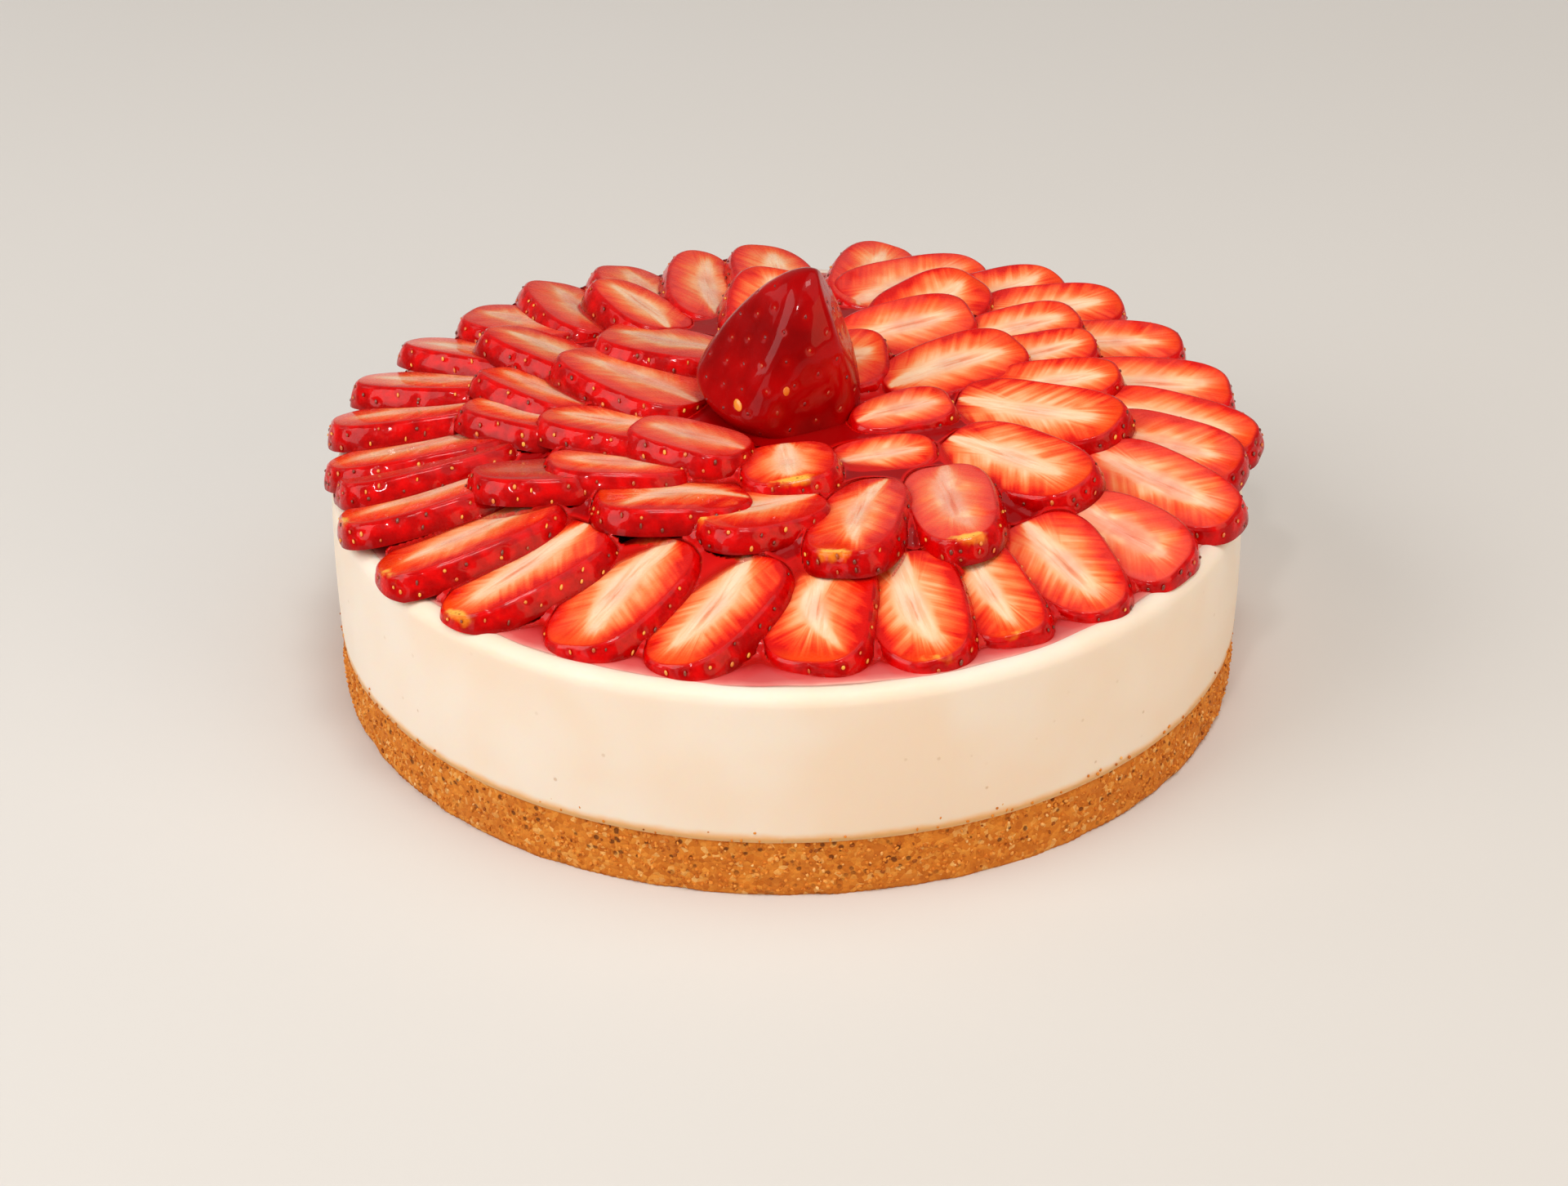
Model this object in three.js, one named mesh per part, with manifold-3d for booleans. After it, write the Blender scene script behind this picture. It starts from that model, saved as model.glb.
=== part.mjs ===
// A round cheesecake on a crumb base, topped with overlapping strawberry slices and one
// whole strawberry. Millimetres, +Z up, origin at the middle of the underside.
import * as THREE from 'three';
import { mergeVertices } from 'three/addons/utils/BufferGeometryUtils.js';
import Module from 'manifold-3d';

const wasm = await Module();
wasm.setup();

// Driving dimensions of the cake
const CAKE_RADIUS = 100;
const TOP_RADIUS = 99.4;
const BASE_HEIGHT = 13.5;
const CAKE_HEIGHT = 47.5;
const RIM_FILLET = 3.2;
const GAP = 0.3;
const MERGE_DISTANCE = 1e-4;

// Crumb base: how far the crags stand in and out, and how finely the wall is divided. Each wave
// has its count round the cake, then the turn that it takes for each millimetre of height.
const CRAG_DEPTH = 0.75;
const CRAG_STEPS_ROUND = 80;
const CRAG_ROWS = 5;
const WIDE_CRAGS = { share: 0.45, waves: [[11, 0.7], [17, -1.1]] };
const FINE_CRAGS = { share: 0.55, waves: [[41, 2.3], [29, -1.9]] };

// Filling: the small chamfer at its foot, the height where its wall starts to lean in, the
// steps of its rounded rim, and the shallow hollow of its top
const FOOT_CHAMFER = 1;
const FOOT_INSET = 0.2;
const WALL_BEND_SHARE = 0.62;
const RIM_STEPS = 4;
const HOLLOW_DEPTH = 0.4;
const HOLLOW_SLOPE = 2.5;
const FILLING_STEPS_ROUND = 64;

// Strawberry slices
const SLICE_THICKNESS = 5.5;
const THICKNESS_SPREAD = 0.6;
const SKIN_FLARE = 1.8;
const HALFWAY_FLARE = 0.72;
const SLICE_SIDES = 14;
const SQUARENESS = 0.05;
const LUMP = 0.022;
const TAPER_LOW = -0.06;
const TAPER_SPREAD = 0.28;
const BEND_SPREAD = 0.22;
const OUTER_HEIGHT = 55.5;
const OUTER_DROOP = 2;
const MIDDLE_HEIGHT = 59.5;
const INNER_HEIGHT = 61;
const CENTRE_DROOP = -4;
const CLEARLY_HIGHER = 0.5;

// The outer slices hang down towards the front of the cake: the tips that reach furthest to the
// front drop by the whole of this, and those behind the middle not at all
const FRONT_DROP = 4.9;
const FRONT_DROP_REACH = 68;

// Whole strawberry: middle of the hulled end, tip, widest radius, and how the outline runs
// in at the hulled end and at the tip
const BERRY_FOOT = new THREE.Vector3(-3, 6, 57);
const BERRY_TIP = new THREE.Vector3(6, 2.5, 91);
const BERRY_RADIUS = 19;
const HULL_RADIUS_SHARE = 0.8;
const HULL_HEIGHT_SHARE = 0.14;
const CONE_SPREAD = 1.45;
const CONE_BLUNTNESS = 0.6;
const ROW_EASE = 1.35;
const BERRY_SIDES = 24;
const BERRY_ROWS = 12;

// Its broad flats: direction and lean in degrees, distance from the middle of the hulled end.
// The edges between them are rounded over the last millimetre or so.
const BERRY_FLATS = [[-151, 21, 17.5], [0, 35, 21], [-66, 13, 17.5]];
const FLAT_REACH = 0.15;
const FLAT_EDGE = 1.6;

// Where each slice lies, on the middle line of its cut face: tip x, tip y, stem x, stem y, then
// its width and its tilt in degrees, then a height where it differs from its ring's. The rings
// run counterclockwise as seen from above.
const OUTER_SLICES = [
  [4, -92, 8, -58, 23, 7], [29, -91, 21, -57, 22, 8], [46, -82, 35, -53, 18, 9],
  [65, -71, 48, -44, 22, 10], [82, -55, 58, -36, 22, 12], [94, -37, 65, -14, 21, 12],
  [98, -15, 66, -4, 22, 12], [103, -5, 67, 8, 20, 12], [100, 18, 62, 20, 20, 12],
  [91, 43, 54, 37, 18, 12], [79, 64, 46, 52, 20, 12], [65, 78, 38, 56, 20, 12],
  [47, 85, 14, 59, 22, 12], [25, 97, 16, 58, 19, 12], [-5, 96, 2, 56, 22, 12],
  [-21, 93, -16, 50, 20, 14], [-41, 85, -24, 52, 22, 16], [-57, 76, -40, 44, 22, 16],
  [-75, 59, -45, 47, 24, 11], [-87, 44, -53, 31, 20, 16], [-97, 24, -60, 21, 23, 16],
  [-100, 3, -59, 14, 23, 16], [-99, -15, -60, -1, 23, 16], [-97, -21, -59, -5, 23, 16],
  [-94, -37, -58, -20, 23, 16], [-84, -56, -49, -34, 23, 14], [-68, -72, -40, -44, 23, 12],
  [-44, -85, -24, -50, 23, 9], [-24, -92, -6, -57, 22, 9],
];
const MIDDLE_SLICES = [
  [-19, -51, 7, -37, 24, 8], [10, -67, 19, -29, 19, 8], [36, -61, 32, -23, 19, 8],
  [62, -37, 34, -10, 22, 12], [72, -10, 36, 6, 22, 12], [74, 16, 46, 9, 17, 12],
  [70, 32, 45, 22, 16, 12], [67, 45, 40, 35, 16, 12], [45, 65, 24, 41, 22, 12],
  [-3, 71, -1, 29, 24, 12], [-42, 65, -25, 41, 18, 14], [-66, 40, -42, 22, 20, 16],
  [-66, 19, -43, 3, 20, 18], [-70, 2, -44, -4, 22, 14], [-66, -31, -38, -24, 20, 14],
  [-40, -42, -8, -35, 26, 12],
];
const INNER_SLICES = [
  [1, -37, -1, -16, 21, 6, 60.4], [32, -17.5, 9, -22, 13, 12, 58.6], [36, 1, 14, -7, 13, 10],
  [36, 14, 14, 9, 18, 10, 58], [53, 27, 21, 10, 19, 12], [23, 20, 0, 18, 22, 10, 62],
  [43, 44, 12, 32, 20, 12], [-42, 36, -12, 28, 24, 12, 60.3], [-49, 24, -18, 2, 25, 12],
  [-53, -6, -24, -10, 22, 12], [-33, -12, -8, -22, 20, 10, 62], [-51, -26, -20, -24, 20, 12, 60],
];

// One seeded sequence of numbers from 0 to 1, so that every run gives the same cake
let seed = 29;
function random() {
  seed = (seed * 1664525 + 1013904223) % 4294967296;
  return seed / 4294967296;
}

// A closed surface from rings of points, with a flat or pointed cap at each end
function skinRings(rings) {
  const sides = rings[0].length;
  const positions = [];
  const indices = [];
  for (const point of rings.flat()) {
    positions.push(point.x, point.y, point.z);
  }
  for (let row = 0; row < rings.length - 1; row += 1) {
    for (let i = 0; i < sides; i += 1) {
      const next = (i + 1) % sides;
      const a = row * sides + i;
      const b = row * sides + next;
      const c = (row + 1) * sides + next;
      const d = (row + 1) * sides + i;
      indices.push(a, b, c, a, c, d);
    }
  }
  const last = (rings.length - 1) * sides;
  for (let i = 1; i < sides - 1; i += 1) {
    indices.push(0, i + 1, i);
    indices.push(last, last + i, last + i + 1);
  }
  const geometry = new THREE.BufferGeometry();
  geometry.setAttribute('position', new THREE.Float32BufferAttribute(positions, 3));
  geometry.setIndex(indices);
  return geometry;
}

function toSolid(geometry) {
  const bare = geometry.clone();
  bare.deleteAttribute('normal');
  bare.deleteAttribute('uv');
  const merged = mergeVertices(bare, MERGE_DISTANCE);
  const mesh = new wasm.Mesh({
    numProp: 3,
    vertProperties: new Float32Array(merged.attributes.position.array),
    triVerts: new Uint32Array(merged.index.array),
  });
  return new wasm.Manifold(mesh);
}

function toGeometry(solid) {
  const mesh = solid.getMesh();
  const geometry = new THREE.BufferGeometry();
  geometry.setAttribute('position', new THREE.Float32BufferAttribute(mesh.vertProperties, 3));
  geometry.setIndex(new THREE.Uint32BufferAttribute(mesh.triVerts, 1));
  return geometry;
}

// Cutting can leave scraps beside a slice: only its largest body is kept
function largestBody(solid) {
  const bodies = solid.decompose();
  bodies.sort((first, second) => second.volume() - first.volume());
  return bodies[0];
}

// Crags of the pressed crumbs: waves round the wall and up it, never repeating exactly
function cragOffset(angle, height) {
  let offset = -1;
  for (const { share, waves } of [WIDE_CRAGS, FINE_CRAGS]) {
    const crests = waves.map(([count, rise]) => Math.sin(angle * count + height * rise));
    offset += share * crests[0] * crests[1];
  }
  return CRAG_DEPTH * offset;
}

function crumbBase() {
  const rings = [];
  const middle = new THREE.Vector3();
  for (let row = 0; row <= CRAG_ROWS; row += 1) {
    const height = (BASE_HEIGHT * row) / CRAG_ROWS;
    const ring = [];
    for (let i = 0; i < CRAG_STEPS_ROUND; i += 1) {
      const angle = (2 * Math.PI * i) / CRAG_STEPS_ROUND;
      const radius = CAKE_RADIUS + cragOffset(angle, height);
      ring.push(middle.clone().set(radius * Math.cos(angle), radius * Math.sin(angle), height));
    }
    rings.push(ring);
  }
  return skinRings(rings);
}

// The filling's outline from its underside, up the wall, round the lip and in to the middle
function fillingProfile() {
  const foot = BASE_HEIGHT + GAP;
  const rimRadius = TOP_RADIUS - RIM_FILLET;
  const rimHeight = CAKE_HEIGHT - RIM_FILLET;
  const bendRadius = (CAKE_RADIUS + TOP_RADIUS) / 2 - FOOT_INSET;
  const points = [new THREE.Vector2(0, foot)];
  points.push(new THREE.Vector2(CAKE_RADIUS - FOOT_INSET, foot));
  points.push(new THREE.Vector2(CAKE_RADIUS, foot + FOOT_CHAMFER));
  points.push(new THREE.Vector2(bendRadius, CAKE_HEIGHT * WALL_BEND_SHARE));
  for (let i = 0; i <= RIM_STEPS; i += 1) {
    const turn = (Math.PI / 2) * (i / RIM_STEPS);
    const radius = rimRadius + RIM_FILLET * Math.cos(turn);
    const height = rimHeight + RIM_FILLET * Math.sin(turn);
    points.push(new THREE.Vector2(radius, height));
  }
  points.push(new THREE.Vector2(rimRadius - HOLLOW_SLOPE, CAKE_HEIGHT - HOLLOW_DEPTH));
  points.push(new THREE.Vector2(0, CAKE_HEIGHT - HOLLOW_DEPTH));
  return points;
}

function cheeseFilling() {
  const geometry = new THREE.LatheGeometry(fillingProfile(), FILLING_STEPS_ROUND);
  geometry.rotateX(Math.PI / 2);
  return toGeometry(toSolid(geometry));
}

// A whole strawberry's radius at a turn and a height on its axis, as a share of its length
function berryRadius(angle, share, length) {
  const hullRise = Math.sin(Math.min(1, share / HULL_HEIGHT_SHARE) * (Math.PI / 2));
  const hull = HULL_RADIUS_SHARE + (1 - HULL_RADIUS_SHARE) * hullRise;
  const cone = Math.pow(Math.max(0, 1 - Math.pow(share, CONE_SPREAD)), CONE_BLUNTNESS);
  let radius = BERRY_RADIUS * hull * cone;
  for (const [direction, lean, distance] of BERRY_FLATS) {
    const facing = Math.cos(angle - THREE.MathUtils.degToRad(direction));
    if (facing > FLAT_REACH) {
      const slope = THREE.MathUtils.degToRad(lean);
      const flat = (distance - share * length * Math.sin(slope)) / (Math.cos(slope) * facing);
      const nearer = Math.min(radius, flat);
      const round = Math.exp(-FLAT_EDGE * (radius - nearer)) + Math.exp(-FLAT_EDGE * (flat - nearer));
      radius = nearer - Math.log(round) / FLAT_EDGE;
    }
  }
  return Math.max(GAP, radius);
}

// A whole strawberry on its hulled end: a blunt cone with broad flats
function wholeStrawberry(margin) {
  const axis = BERRY_TIP.clone().sub(BERRY_FOOT);
  const length = axis.length();
  const turn = new THREE.Quaternion().setFromUnitVectors(
    new THREE.Vector3(0, 0, 1),
    axis.clone().normalize(),
  );
  const rings = [];
  for (let row = 0; row <= BERRY_ROWS; row += 1) {
    const along = row / BERRY_ROWS;
    const share = 1 - Math.pow(1 - along, ROW_EASE);
    const up = share * length + margin * (2 * along - 1);
    const ring = [];
    for (let i = 0; i < BERRY_SIDES; i += 1) {
      const angle = (2 * Math.PI * i) / BERRY_SIDES;
      const radius = berryRadius(angle, share, length) + margin;
      const point = new THREE.Vector3(radius * Math.cos(angle), radius * Math.sin(angle), up);
      ring.push(point.applyQuaternion(turn).add(BERRY_FOOT));
    }
    rings.push(ring);
  }
  return skinRings(rings);
}

// The facts of one slice: its middle, axes, size and form
function sliceFacts(row, ringHeight, droop, frontDrop) {
  const [tipX, tipY, stemX, stemY, width, tilt, height = ringHeight] = row;
  const heading = Math.atan2(tipY - stemY, tipX - stemX);
  const level = Math.hypot(tipX - stemX, tipY - stemY);
  const dip = frontDrop * THREE.MathUtils.clamp(-tipY / FRONT_DROP_REACH, 0, 1);
  const slope = THREE.MathUtils.degToRad(droop) + Math.atan2(dip, level);
  const turn = new THREE.Quaternion().setFromEuler(
    new THREE.Euler(THREE.MathUtils.degToRad(tilt), slope, heading, 'ZYX'),
  );
  return {
    height,
    middle: new THREE.Vector3((tipX + stemX) / 2, (tipY + stemY) / 2, height - dip / 2),
    turn,
    length: level / Math.cos(slope),
    width,
    taper: TAPER_LOW + TAPER_SPREAD * random(),
    thickness: SLICE_THICKNESS + THICKNESS_SPREAD * (random() - 0.5),
    bend: BEND_SPREAD * (random() - 0.5),
    lumpTurn: 2 * Math.PI * random(),
  };
}

// A slice has a flat cut face on top, a skin that flares out downwards, and a flat underside.
// Its outline is a slightly square oval that narrows to its tip, bends and has three lumps.
function sliceGeometry(facts, margin) {
  const levels = [
    [-facts.thickness - margin, SKIN_FLARE],
    [-facts.thickness / 2, SKIN_FLARE * HALFWAY_FLARE],
    [margin, 0],
  ];
  const rings = levels.map(([depth, flare]) => {
    const ring = [];
    for (let i = 0; i < SLICE_SIDES; i += 1) {
      const angle = (2 * Math.PI * i) / SLICE_SIDES;
      const lump = LUMP * Math.cos(3 * angle + facts.lumpTurn);
      const blunt = 1 - SQUARENESS * Math.cos(4 * angle) + lump;
      const across = Math.sin(angle) * (1 - facts.taper * Math.cos(angle));
      const bent = blunt * across + facts.bend * Math.cos(angle) ** 2;
      const x = (facts.length / 2 + flare + margin) * blunt * Math.cos(angle);
      const y = (facts.width / 2 + flare + margin) * bent;
      const point = new THREE.Vector3(x, y, depth);
      ring.push(point.applyQuaternion(facts.turn).add(facts.middle));
    }
    return ring;
  });
  return skinRings(rings);
}

function collectSlices() {
  const rings = [
    ['slice_outer', OUTER_SLICES, OUTER_HEIGHT, OUTER_DROOP, FRONT_DROP],
    ['slice_middle', MIDDLE_SLICES, MIDDLE_HEIGHT, CENTRE_DROOP, 0],
    ['slice_inner', INNER_SLICES, INNER_HEIGHT, CENTRE_DROOP, 0],
  ];
  const slices = [];
  rings.forEach(([name, rows, height, droop, frontDrop], ring) => {
    rows.forEach((row, index) => {
      const facts = sliceFacts(row, height, droop, frontDrop);
      slices.push({
        name: `${name}_${String(index + 1).padStart(2, '0')}`,
        ring,
        azimuth: Math.atan2(facts.middle.y, facts.middle.x),
        height: facts.height,
        solid: toSolid(sliceGeometry(facts, 0)),
        cutter: toSolid(sliceGeometry(facts, GAP)),
      });
    });
  });
  return slices;
}

// An inner ring lies on the ring outside it. Within a ring a clearly higher slice lies on a
// lower one, and otherwise each slice's raised side lies on its counterclockwise neighbour.
function liesOn(upper, lower) {
  if (upper.ring !== lower.ring) {
    return upper.ring > lower.ring;
  }
  if (Math.abs(upper.height - lower.height) > CLEARLY_HIGHER) {
    return upper.height > lower.height;
  }
  const ahead = (lower.azimuth - upper.azimuth + 2 * Math.PI) % (2 * Math.PI);
  return ahead < Math.PI;
}

function cutSlices(slices, berryCutter) {
  const ground = new THREE.BoxGeometry(4 * CAKE_RADIUS, 4 * CAKE_RADIUS, CAKE_HEIGHT);
  ground.translate(0, 0, CAKE_HEIGHT / 2 + GAP);
  const groundCutter = toSolid(ground);
  return slices.map((slice) => {
    let solid = slice.solid.subtract(groundCutter).subtract(berryCutter);
    for (const above of slices.filter((other) => other !== slice && liesOn(other, slice))) {
      solid = solid.subtract(above.cutter);
    }
    return { name: slice.name, geometry: toGeometry(largestBody(solid)) };
  });
}

function addPiece(group, name, geometry, colour, roughness) {
  const material = new THREE.MeshStandardMaterial({ color: colour, roughness, metalness: 0 });
  const mesh = new THREE.Mesh(geometry, material);
  mesh.name = name;
  group.add(mesh);
}

const cheesecake = new THREE.Group();
addPiece(cheesecake, 'crumb_base', crumbBase(), 0xd98a3c, 0.85);
addPiece(cheesecake, 'cheese_filling', cheeseFilling(), 0xfbefdc, 0.45);
addPiece(cheesecake, 'whole_strawberry', wholeStrawberry(0), 0xa80a08, 0.2);
const berryCutter = toSolid(wholeStrawberry(GAP));
for (const slice of cutSlices(collectSlices(), berryCutter)) {
  addPiece(cheesecake, slice.name, slice.geometry, 0xe8452a, 0.25);
}

export default cheesecake;
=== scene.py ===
"""A round cheesecake on a crumb base, topped with glazed strawberries, dressed for close views.

Every size is in metres and the row frame is kept: +Z up, the middle of the underside at zero.
"""

import logging
import math
from dataclasses import asdict, dataclass
from enum import Enum
from typing import Any, Iterable, Mapping, Sequence

import bmesh
import bpy
import numpy as np
from mathutils import Euler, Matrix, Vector, noise


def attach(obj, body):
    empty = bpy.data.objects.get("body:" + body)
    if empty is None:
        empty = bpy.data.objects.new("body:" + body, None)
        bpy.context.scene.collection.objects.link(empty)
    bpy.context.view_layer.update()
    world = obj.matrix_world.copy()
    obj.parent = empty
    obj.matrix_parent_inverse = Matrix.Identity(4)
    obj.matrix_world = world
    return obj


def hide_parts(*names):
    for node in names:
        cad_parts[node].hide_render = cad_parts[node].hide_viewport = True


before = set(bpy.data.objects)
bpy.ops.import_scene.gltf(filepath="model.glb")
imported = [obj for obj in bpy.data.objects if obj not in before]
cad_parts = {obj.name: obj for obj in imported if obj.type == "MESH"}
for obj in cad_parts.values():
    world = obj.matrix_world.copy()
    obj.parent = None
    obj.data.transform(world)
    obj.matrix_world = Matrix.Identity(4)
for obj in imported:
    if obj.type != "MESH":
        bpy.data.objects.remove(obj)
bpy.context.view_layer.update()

LOG = logging.getLogger("cheesecake")
MM = 0.001
FULL_TURN = 2 * math.pi
BODY = "root"


class Slot(Enum):
    """The material slots of the cake."""

    CRUMB = "crumb"
    FILLING = "filling"
    BERRY_SKIN = "berry_skin"
    BERRY_FLESH = "berry_flesh"


class Ring(Enum):
    """The three rings of slices, from the rim of the cake to its middle."""

    OUTER = 0
    MIDDLE = 1
    INNER = 2


def linear(red: int, green: int, blue: int) -> tuple[float, float, float, float]:
    """Turns a colour of three 8-bit screen values into the linear colour that shaders take.

    Args:
        red: Red from 0 to 255.
        green: Green from 0 to 255.
        blue: Blue from 0 to 255.

    Returns:
        Linear red, green and blue, and an alpha of 1.
    """

    def straighten(level: int) -> float:
        """One screen value made linear."""
        share = level / 255
        if share <= 0.04045:
            return share / 12.92
        return ((share + 0.055) / 1.055) ** 2.4

    return (straighten(red), straighten(green), straighten(blue), 1.0)


class Wire:
    """One output of a node, which takes part in Python arithmetic by adding maths nodes."""

    def __init__(self, board: "Board", node: bpy.types.Node, key: int | str = 0) -> None:
        """Remembers the node and which of its outputs this is."""
        self.board = board
        self.node = node
        self.key = key

    @property
    def socket(self) -> bpy.types.NodeSocket:
        """The output socket itself."""
        return self.node.outputs[self.key]

    def output(self, key: int | str) -> "Wire":
        """Another output of the same node."""
        return Wire(self.board, self.node, key)

    def _pair(self, operation: str, first: Any, second: Any) -> "Wire":
        """Adds a maths node for two terms, a vector one if either term is a vector or a colour."""
        wires = [term for term in (first, second) if isinstance(term, Wire)]
        vectors = any(term.socket.type in ("VECTOR", "RGBA") for term in wires)
        kind = "ShaderNodeVectorMath" if vectors else "ShaderNodeMath"
        return self.board.node(kind, {"operation": operation}, {0: first, 1: second})

    def __add__(self, other: Any) -> "Wire":
        """The sum of two terms."""
        return self._pair("ADD", self, other)

    def __radd__(self, other: Any) -> "Wire":
        """The sum of two terms."""
        return self._pair("ADD", other, self)

    def __sub__(self, other: Any) -> "Wire":
        """The difference of two terms."""
        return self._pair("SUBTRACT", self, other)

    def __rsub__(self, other: Any) -> "Wire":
        """The difference of two terms, the other one first."""
        return self._pair("SUBTRACT", other, self)

    def __mul__(self, other: Any) -> "Wire":
        """The product of two terms."""
        return self._pair("MULTIPLY", self, other)

    def step(self, low: float, high: float, bottom: float = 0.0, top: float = 1.0) -> "Wire":
        """Rises smoothly from bottom to top as this value goes from low to high.

        Args:
            low: Value at which the rise begins.
            high: Value at which it ends.
            bottom: Result below low.
            top: Result above high.

        Returns:
            The eased value.
        """
        settings = {"interpolation_type": "SMOOTHSTEP"}
        places = {"Value": self, "From Min": low, "From Max": high, "To Min": bottom, "To Max": top}
        return self.board.node("ShaderNodeMapRange", settings, places)


class Board:
    """A node tree that is filled by typed calls."""

    def __init__(self, tree: bpy.types.NodeTree) -> None:
        """Empties the tree."""
        self.tree = tree
        self.tree.nodes.clear()

    def node(
        self,
        kind: str,
        settings: Mapping[str, Any] | None = None,
        inputs: Mapping[int | str, Any] | None = None,
        output: int | str = 0,
    ) -> Wire:
        """Adds one node.

        Args:
            kind: The node's Blender type.
            settings: Its properties, set first. The stops of a ramp go under "stops".
            inputs: Values or wires for its input sockets, by index or by name.
            output: The output that the returned wire stands for.

        Returns:
            A wire from the chosen output.
        """
        made = self.tree.nodes.new(kind)
        for name, value in (settings or {}).items():
            if name == "stops":
                self._set_stops(made.color_ramp, value)
            else:
                setattr(made, name, value)
        for key, value in (inputs or {}).items():
            self.feed(made.inputs[key], value)
        return Wire(self, made, output)

    def feed(self, socket: bpy.types.NodeSocket, value: Any) -> None:
        """Links a wire to an input socket, or sets the socket's own value."""
        if isinstance(value, Wire):
            self.tree.links.new(value.socket, socket)
        elif isinstance(value, (int, float)) and socket.type in ("VECTOR", "RGBA"):
            socket.default_value = [value] * len(socket.default_value)
        else:
            socket.default_value = value

    @staticmethod
    def _set_stops(ramp: bpy.types.ColorRamp, stops: Sequence[tuple[float, Any]]) -> None:
        """Gives a colour ramp its stops."""
        while len(ramp.elements) > 1:
            ramp.elements.remove(ramp.elements[-1])
        for index, (place, colour) in enumerate(stops):
            element = ramp.elements[0] if index == 0 else ramp.elements.new(place)
            element.position = place
            element.color = colour

    def mix(self, factor: Any, first: Any, second: Any) -> Wire:
        """Mixes two colours.

        Args:
            factor: How much of the second colour shows.
            first: A colour or a wire.
            second: A colour or a wire.

        Returns:
            The mixed colour.
        """
        return self.node("ShaderNodeMix", {"data_type": "RGBA"}, {0: factor, 6: first, 7: second}, 2)

    def noise(self, place: Any, scale: float, detail: float = 2.0, rough: float = 0.5) -> Wire:
        """A noise value from 0 to 1 at a place, with a given number of waves to the unit."""
        inputs = {"Vector": place, "Scale": scale, "Detail": detail, "Roughness": rough}
        return self.node("ShaderNodeTexNoise", None, inputs)

    def attribute(self, name: str, output: str = "Vector") -> Wire:
        """Reads one of the mesh's own attributes."""
        return self.node("ShaderNodeAttribute", {"attribute_name": name}, None, output)

    def parts(self, vector: Wire) -> tuple[Wire, Wire, Wire]:
        """Splits a vector into its three numbers."""
        split = self.node("ShaderNodeSeparateXYZ", None, {0: vector})
        return split, split.output(1), split.output(2)

    def joined(self, x: Any, y: Any, z: Any) -> Wire:
        """Makes a vector of three numbers."""
        return self.node("ShaderNodeCombineXYZ", None, {0: x, 1: y, 2: z})

    def place(self) -> Wire:
        """The object's own coordinates, in metres."""
        return self.node("ShaderNodeTexCoord", None, None, "Object")

    def bump(self, height: Any, depth: float, strength: float) -> Wire:
        """A normal from a height of 0 to 1 that stands for a depth in metres."""
        inputs = {"Height": height, "Distance": depth, "Strength": strength}
        return self.node("ShaderNodeBump", None, inputs)


@dataclass(frozen=True)
class Finish:
    """What every finish holds: the constants of its shader."""

    name: str
    roughness: float = 0.5
    coat: float = 0.0
    coat_roughness: float = 0.05
    coat_ior: float = 1.4
    specular: float = 0.5
    scatter: float = 0.0
    scatter_depth: tuple[float, float, float] = (1.0, 0.4, 0.2)
    scatter_size: float = 2 * MM

    def paint(self, board: Board) -> dict[str, Any]:
        """The wires that vary over the surface, by the name of the shader's socket."""
        raise NotImplementedError

    def build(self) -> bpy.types.Material:
        """Makes the material.

        Returns:
            The finished material.
        """
        material = bpy.data.materials.new(self.name)
        material.use_nodes = True
        board = Board(material.node_tree)
        constants = {
            "Roughness": self.roughness,
            "Coat Weight": self.coat,
            "Coat Roughness": self.coat_roughness,
            "Coat IOR": self.coat_ior,
            "Specular IOR Level": self.specular,
            "Subsurface Weight": self.scatter,
            "Subsurface Radius": self.scatter_depth,
            "Subsurface Scale": self.scatter_size,
        }
        shader = board.node("ShaderNodeBsdfPrincipled", None, {**constants, **self.paint(board)})
        board.node("ShaderNodeOutputMaterial", None, {"Surface": shader})
        return material


@dataclass(frozen=True)
class CreamFinish(Finish):
    """Baked cheese filling: satin, faintly smeared, with a few specks low on its wall."""

    light: tuple[float, ...] = linear(250, 233, 216)
    warm: tuple[float, ...] = linear(248, 224, 200)
    speck: tuple[float, ...] = linear(190, 150, 100)
    stain: tuple[float, ...] = linear(242, 176, 96)

    def paint(self, board: Board) -> dict[str, Any]:
        """Large warm patches, fine specks, drag marks and a stain where the crumbs touch."""
        place = board.place()
        height_up = board.parts(place)[2]
        patches = board.noise(place, 28.0, 2.0).step(0.35, 0.68)
        colour = board.mix(patches, self.light, self.warm)
        cells = board.node("ShaderNodeTexVoronoi", None, {"Vector": place, "Scale": 300.0})
        low_down = height_up.step(16 * MM, 42 * MM, 1.0, 0.12)
        chosen = board.parts(cells.output("Color"))[0].step(0.84, 0.88) * low_down
        specks = cells.step(0.07, 0.17, 1.0, 0.0) * chosen
        colour = board.mix(specks * 0.6, colour, self.speck)
        seam = height_up + (board.noise(place, 160.0, 3.0) - 0.5) * (1.6 * MM)
        colour = board.mix(seam.step(13.7 * MM, 15.6 * MM, 0.85, 0.0), colour, self.stain)
        drags = board.noise(place * (1.0, 1.0, 0.22), 240.0, 3.0, 0.6)
        smooth = board.noise(place, 60.0, 3.0)
        height = drags * 0.35 + smooth * 0.65 - specks * 0.5
        return {
            "Base Color": colour,
            "Roughness": smooth.step(0.2, 0.8, 0.36, 0.52),
            "Normal": board.bump(height, 0.35 * MM, 0.35),
        }


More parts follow.
